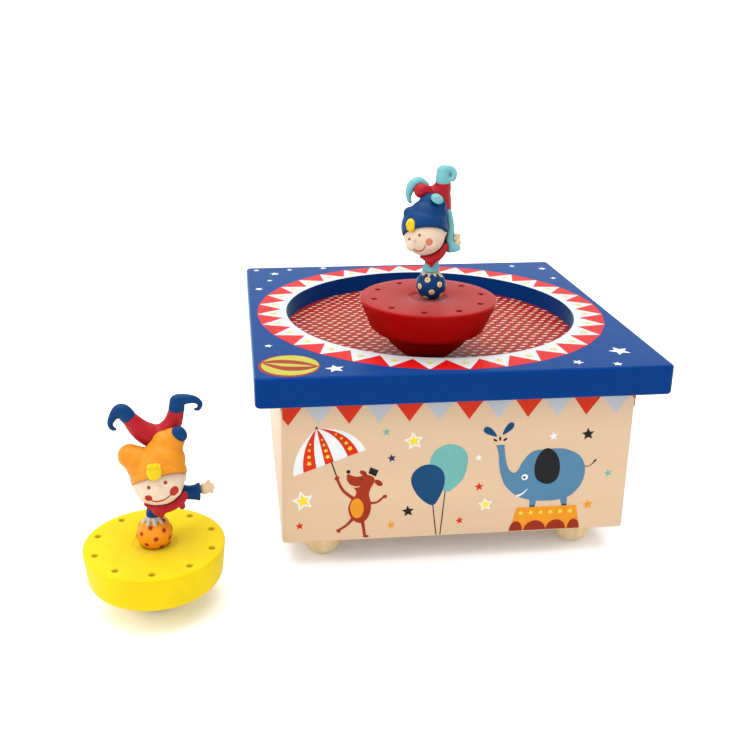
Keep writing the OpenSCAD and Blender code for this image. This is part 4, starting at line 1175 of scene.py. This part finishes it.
def yellowFigure():
    paint = figurePaints
    tilt = (-0.177, 0.69, 1.0)
    lowEdge = ((3.0, -1.5, 26.1), tilt)
    bandTop = Vector((3.0, -1.5, 26.1)) + Vector(tilt).normalized() * 2.7
    pieces = [
        sculpt("yellow_body", [
            limb([(1.4, 1.0, 15.5), (3.4, 4.0, 20), (4.4, 5.4, 28), (4.4, 5.4, 36), (4.2, 5.2, 40)],
            [3.0, 5.0, 5.6, 5.2, 4.9]),
            limb([(2.8, 5.0, 40.0), (-2.2, 4.8, 43.4), (-6.2, 4.6, 48.6)], [4.6, 3.9, 2.8]),
            limb([(5.4, 5.2, 40.4), (9.0, 5.2, 44.8), (10.8, 5.0, 50.4)], [4.4, 3.5, 2.85])], paint["red"]),
        sculpt("yellow_shoe_left", [
            limb([(-6.8, 4.5, 49.6), (-8.3, 4.2, 51.6), (-9.9, 4.0, 51.8), (-11.7, 3.8, 50.0),
                (-12.9, 3.6, 47.6),
            (-12.4, 3.5, 45.7), (-11.3, 3.4, 45.2)], [2.95, 2.8, 2.4, 1.7, 1.15, 0.9, 0.65])],
            paint["blue"]),
        sculpt("yellow_shoe_right", [
            limb([(10.8, 5.0, 51.0), (10.9, 4.9, 52.4), (10.9, 4.8, 53.6)], [3.0, 2.85, 2.6]),
            limb([(11.4, 4.8, 54.0), (14.6, 4.5, 54.4), (17.6, 4.3, 53.9), (19.3, 4.2, 52.2),
                (18.6, 4.1, 50.4),
            (17.4, 4.0, 50.4)], [2.4, 1.9, 1.4, 1.05, 0.8, 0.6])], paint["blue"]),
        sculpt("yellow_cuff", [
            limb([(0.2, 0, 11.6), (0.4, 0.2, 13.4), (1.0, 0.8, 16.0)], [2.75, 2.6, 2.6])], paint["blue"],
            [((0, 0, 11.3), (0, 0, 1))]),
        sculpt("yellow_glove", [lump((0.2, -0.1, 10.6), (2.6, 2.5, 1.6))] + fingers(
            (0.2, -0.1, 10.6), 3.9, 0.95,
            [(-1, -0.3, 0), (-0.6, -0.9, 0), (0.1, -1, 0), (0.75, -0.75, 0), (1, 0.1, 0)], 1.5),
            paint["glove"],
            grain=0.24, smooth=3),
        sculpt("yellow_sleeve", [
            limb([(9.0, 2.0, 20.0), (12.6, 0.2, 19.2), (16.0, -0.8, 19.4), (18.0, -1.0, 19.6)],
            [2.6, 2.6, 2.9, 3.5])], paint["blue"], [((17.6, -1.0, 19.5), (-1.0, 0, 0.03))]),
        sculpt("yellow_hand", [lump((19.4, -1.0, 20.6), (2.2, 1.4, 2.3))] + fingers(
            (19.5, -1.0, 20.8), 3.0, 0.85, [(0.5, 0, 1), (0.9, 0, 0.45), (1, 0, -0.05), (0.85, 0, -0.6)]),
            paint["bareHand"], grain=0.24, smooth=3),
        sculpt("yellow_neckerchief", [
            limb([(-2.0, -4.4, 18.4), (1.6, -5.6, 16.9), (5.6, -5.4, 17.0), (9.6, -3.6, 18.0),
                (12.2, -1.2, 19.2)],
            [1.0, 1.8, 2.1, 2.1, 1.7]),
            limb([(2.6, -5.6, 16.8), (2.9, -5.4, 14.8), (3.0, -5.0, 12.6)], [2.9, 1.9, 0.5]),
            limb([(9.6, -3.6, 18.0), (10.8, -3.2, 15.4)], [1.9, 1.2])], paint["red"], grain=0.26, smooth=3),
        sculpt("yellow_head", [
            lump((2.8, -1.5, 26.0), (9.4, 9.3, 9.1)), lump((7.6, -7.2, 24.4), (3.2, 2.6, 2.9)),
            lump((-1.6, -7.2, 23.2), (3.0, 2.6, 2.8)), lump((2.8, -10.9, 27.6), (0.95, 0.9, 0.8)),
            lump((12.0, -1.6, 26.6), (1.0, 1.5, 1.8))], paint["skin"], grain=0.28, smooth=4),
        sculpt("yellow_hat", [
            lump((2.9, -1.2, 29.6), (9.9, 9.9, 9.2)),
            limb([(4.8, -0.5, 33), (6.4, 0.2, 37), (8.6, 0.6, 40.4)], [8.2, 6.4, 4.6]),
            limb([(4.0, 0.0, 36), (5.6, 0.3, 39.6)], [5.6, 4.6]),
            limb([(-1.4, -1.0, 31), (-4.6, -0.6, 34.4), (-6.8, -0.2, 36.0)], [6.6, 5.4, 4.4])],
                paint["orange"],
            [lowEdge], smooth=10),
        sculpt("yellow_hat_band", [lump((2.9, -1.3, 28.6), (10.4, 10.5, 9.8))], paint["orange"],
            [lowEdge, (bandTop, [-c for c in tilt])], smooth=4),
        sculpt("yellow_hat_knob", [lump((1.4, -10.3, 33.6), (2.7, 1.6, 3.1), (-15, 0, 0))] + [
            lump((1.4 - 1.8 + 0.9 * k, -10.7, 35.9 + 0.4 * (k % 2)), (0.6, 0.9, 1.0)) for k in range(5)],
            paint["yellow"], grain=0.22, smooth=2),
        sculpt("yellow_bobble", [lump((11.2, -1.4, 43.6), (2.5, 2.4, 3.3), (0, -35, 0))], paint["blue"]),
    ]
    find = onSurface(bpy.data.objects["yellow_head"], acrobats["yellow"]["look"])
    face = [
        patch("yellow_eye_left", find, dotRows(-0.8, 22.6, 1.2, 1.5), paint["eye"]),
        patch("yellow_eye_right", find, dotRows(5.1, 24.0, 1.3, 1.6), paint["eye"]),
        patch("yellow_cheek_right", find, dotRows(8.0, 20.4, 3.0, 3.9, -30), paint["lips"], 0.05),
        patch("yellow_cheek_left", find, dotRows(-1.1, 18.5, 2.7, 2.2, -20), paint["lips"], 0.05),
        patch("yellow_smile", find, lineRows([(-1.4, 18.6), (1.2, 16.9), (4.6, 17.4), (7.2, 19.4)], 0.5),
              paint["lips"], 0.1, False),
    ]
    ball = sculpt("yellow_ball", [ballFor("yellow")], paint["ball"], grain=0.3, smooth=1)
    return pieces + face, ball


def seatFigure(colour, pieces, ball, at, spots):
    look = acrobats[colour]
    place = Matrix.Translation(Vector(at) * mm) @ Matrix.Rotation(math.radians(look["turn"]), 4, "Z")
    for piece in pieces + [ball]:
        piece.data.transform(place)
        piece.data.shade_smooth()
    middle = place @ (Vector(look["ballAt"]) * mm)
    for label, count, size, flat, paint, spin in look["spots"]:
        spot = runTree(f"{colour}_{label}", spots, {
            "count": count, "ball": look["ball"] * mm, "spot": size * mm, "flat": flat, "turn": spin,
            "centre": list(middle), "paint": figurePaints[paint]})
        spot.data.shade_smooth()
        pieces.append(spot)
    for piece in pieces + [ball]:
        join(piece, colour + "_top")
    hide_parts(colour + "_acrobat")


def lightStudio():
    world = bpy.data.worlds.new("studio")
    bpy.context.scene.world = world
    world.use_nodes = True
    world.node_tree.nodes["Background"].inputs["Strength"].default_value = studio["sky"]
    world.node_tree.nodes["Background"].inputs["Color"].default_value = (1, 1, 1, 1)
    softLight("overhead", (-0.1, 0.05, 1.3), (0, 0, 0), studio["overheadSize"], studio["overheadPower"])
    softLight("leftSide", (-1.1, -0.5, 0.7), (0, 0, 0.05), studio["sideSize"], studio["sidePower"])
    bpy.context.scene.view_settings.view_transform = "Standard"


def layFloor():
    shape = bmesh.new()
    bmesh.ops.create_circle(shape, cap_ends=True, radius=studio["floorRadius"], segments=96)
    mesh = bpy.data.meshes.new("floor")
    shape.to_mesh(mesh)
    shape.free()
    paint, _, shader, _ = startMaterial("studioFloor")
    levels = {"Base Color": (studio["floorTint"],) * 3 + (1,), "Roughness": 0.9, "Specular IOR Level": 0.1,
              "Emission Color": (1, 1, 1, 1), "Emission Strength": studio["floorGlow"]}
    for socket, value in levels.items():
        shader.inputs[socket].default_value = value
    mesh.materials.append(paint)
    linkMesh("floor", mesh)


placeCamera(cameraView)
lightStudio()
layFloor()
print("studio ready")
paintFrame()
print("frame painted")
decorate()
print("decoration printed")

# each base: section as radius, taper, shoulder height and bowl in mm, first dimple in degrees, its
# colour, the darker colour painted in its dimples as painted shade, and
# how dusty its level face is
tops = {
    "red": {"form": (27.7, 3.7, 16.2, 9.4), "first": 75.7, "colour": (0.265, 0.0005, 0.0005, 1),
            "dimpleShadeColour": (0.05, 0.001, 0.001, 1), "dust": 0.55, "floor": stageTop, "figure": redFigure},
    "yellow": {"form": (26.2, 1.0, 14.9, 7.4), "first": -88, "colour": (0.62, 0.455, 0.004, 1),
        "dimpleShadeColour": (0.24, 0.15, 0.002, 1), "dust": 0.55, "floor": 0, "figure": yellowFigure},
}
drills = dimpleTree()
spots = spotTree()
for colour, top in tops.items():
    middle = (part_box(colour + "_base")[0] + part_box(colour + "_base")[1]) / 2 / mm
    at = (middle.x, middle.y, top["floor"])
    side = turnedLacquer(colour + "Lacquer", top["colour"], at, top["dimpleShadeColour"])
    level = turnedLacquer(colour + "FaceLacquer", top["colour"], at, top["dimpleShadeColour"], top["dust"])
    turnBase(colour + "_turned_base", at, top["form"], top["first"], side, level, colour + "_top", drills)
    pieces, ball = top["figure"]()
    seatFigure(colour, pieces, ball, (at[0], at[1], at[2] + topSize["height"]), spots)
    print(colour + " top finished")
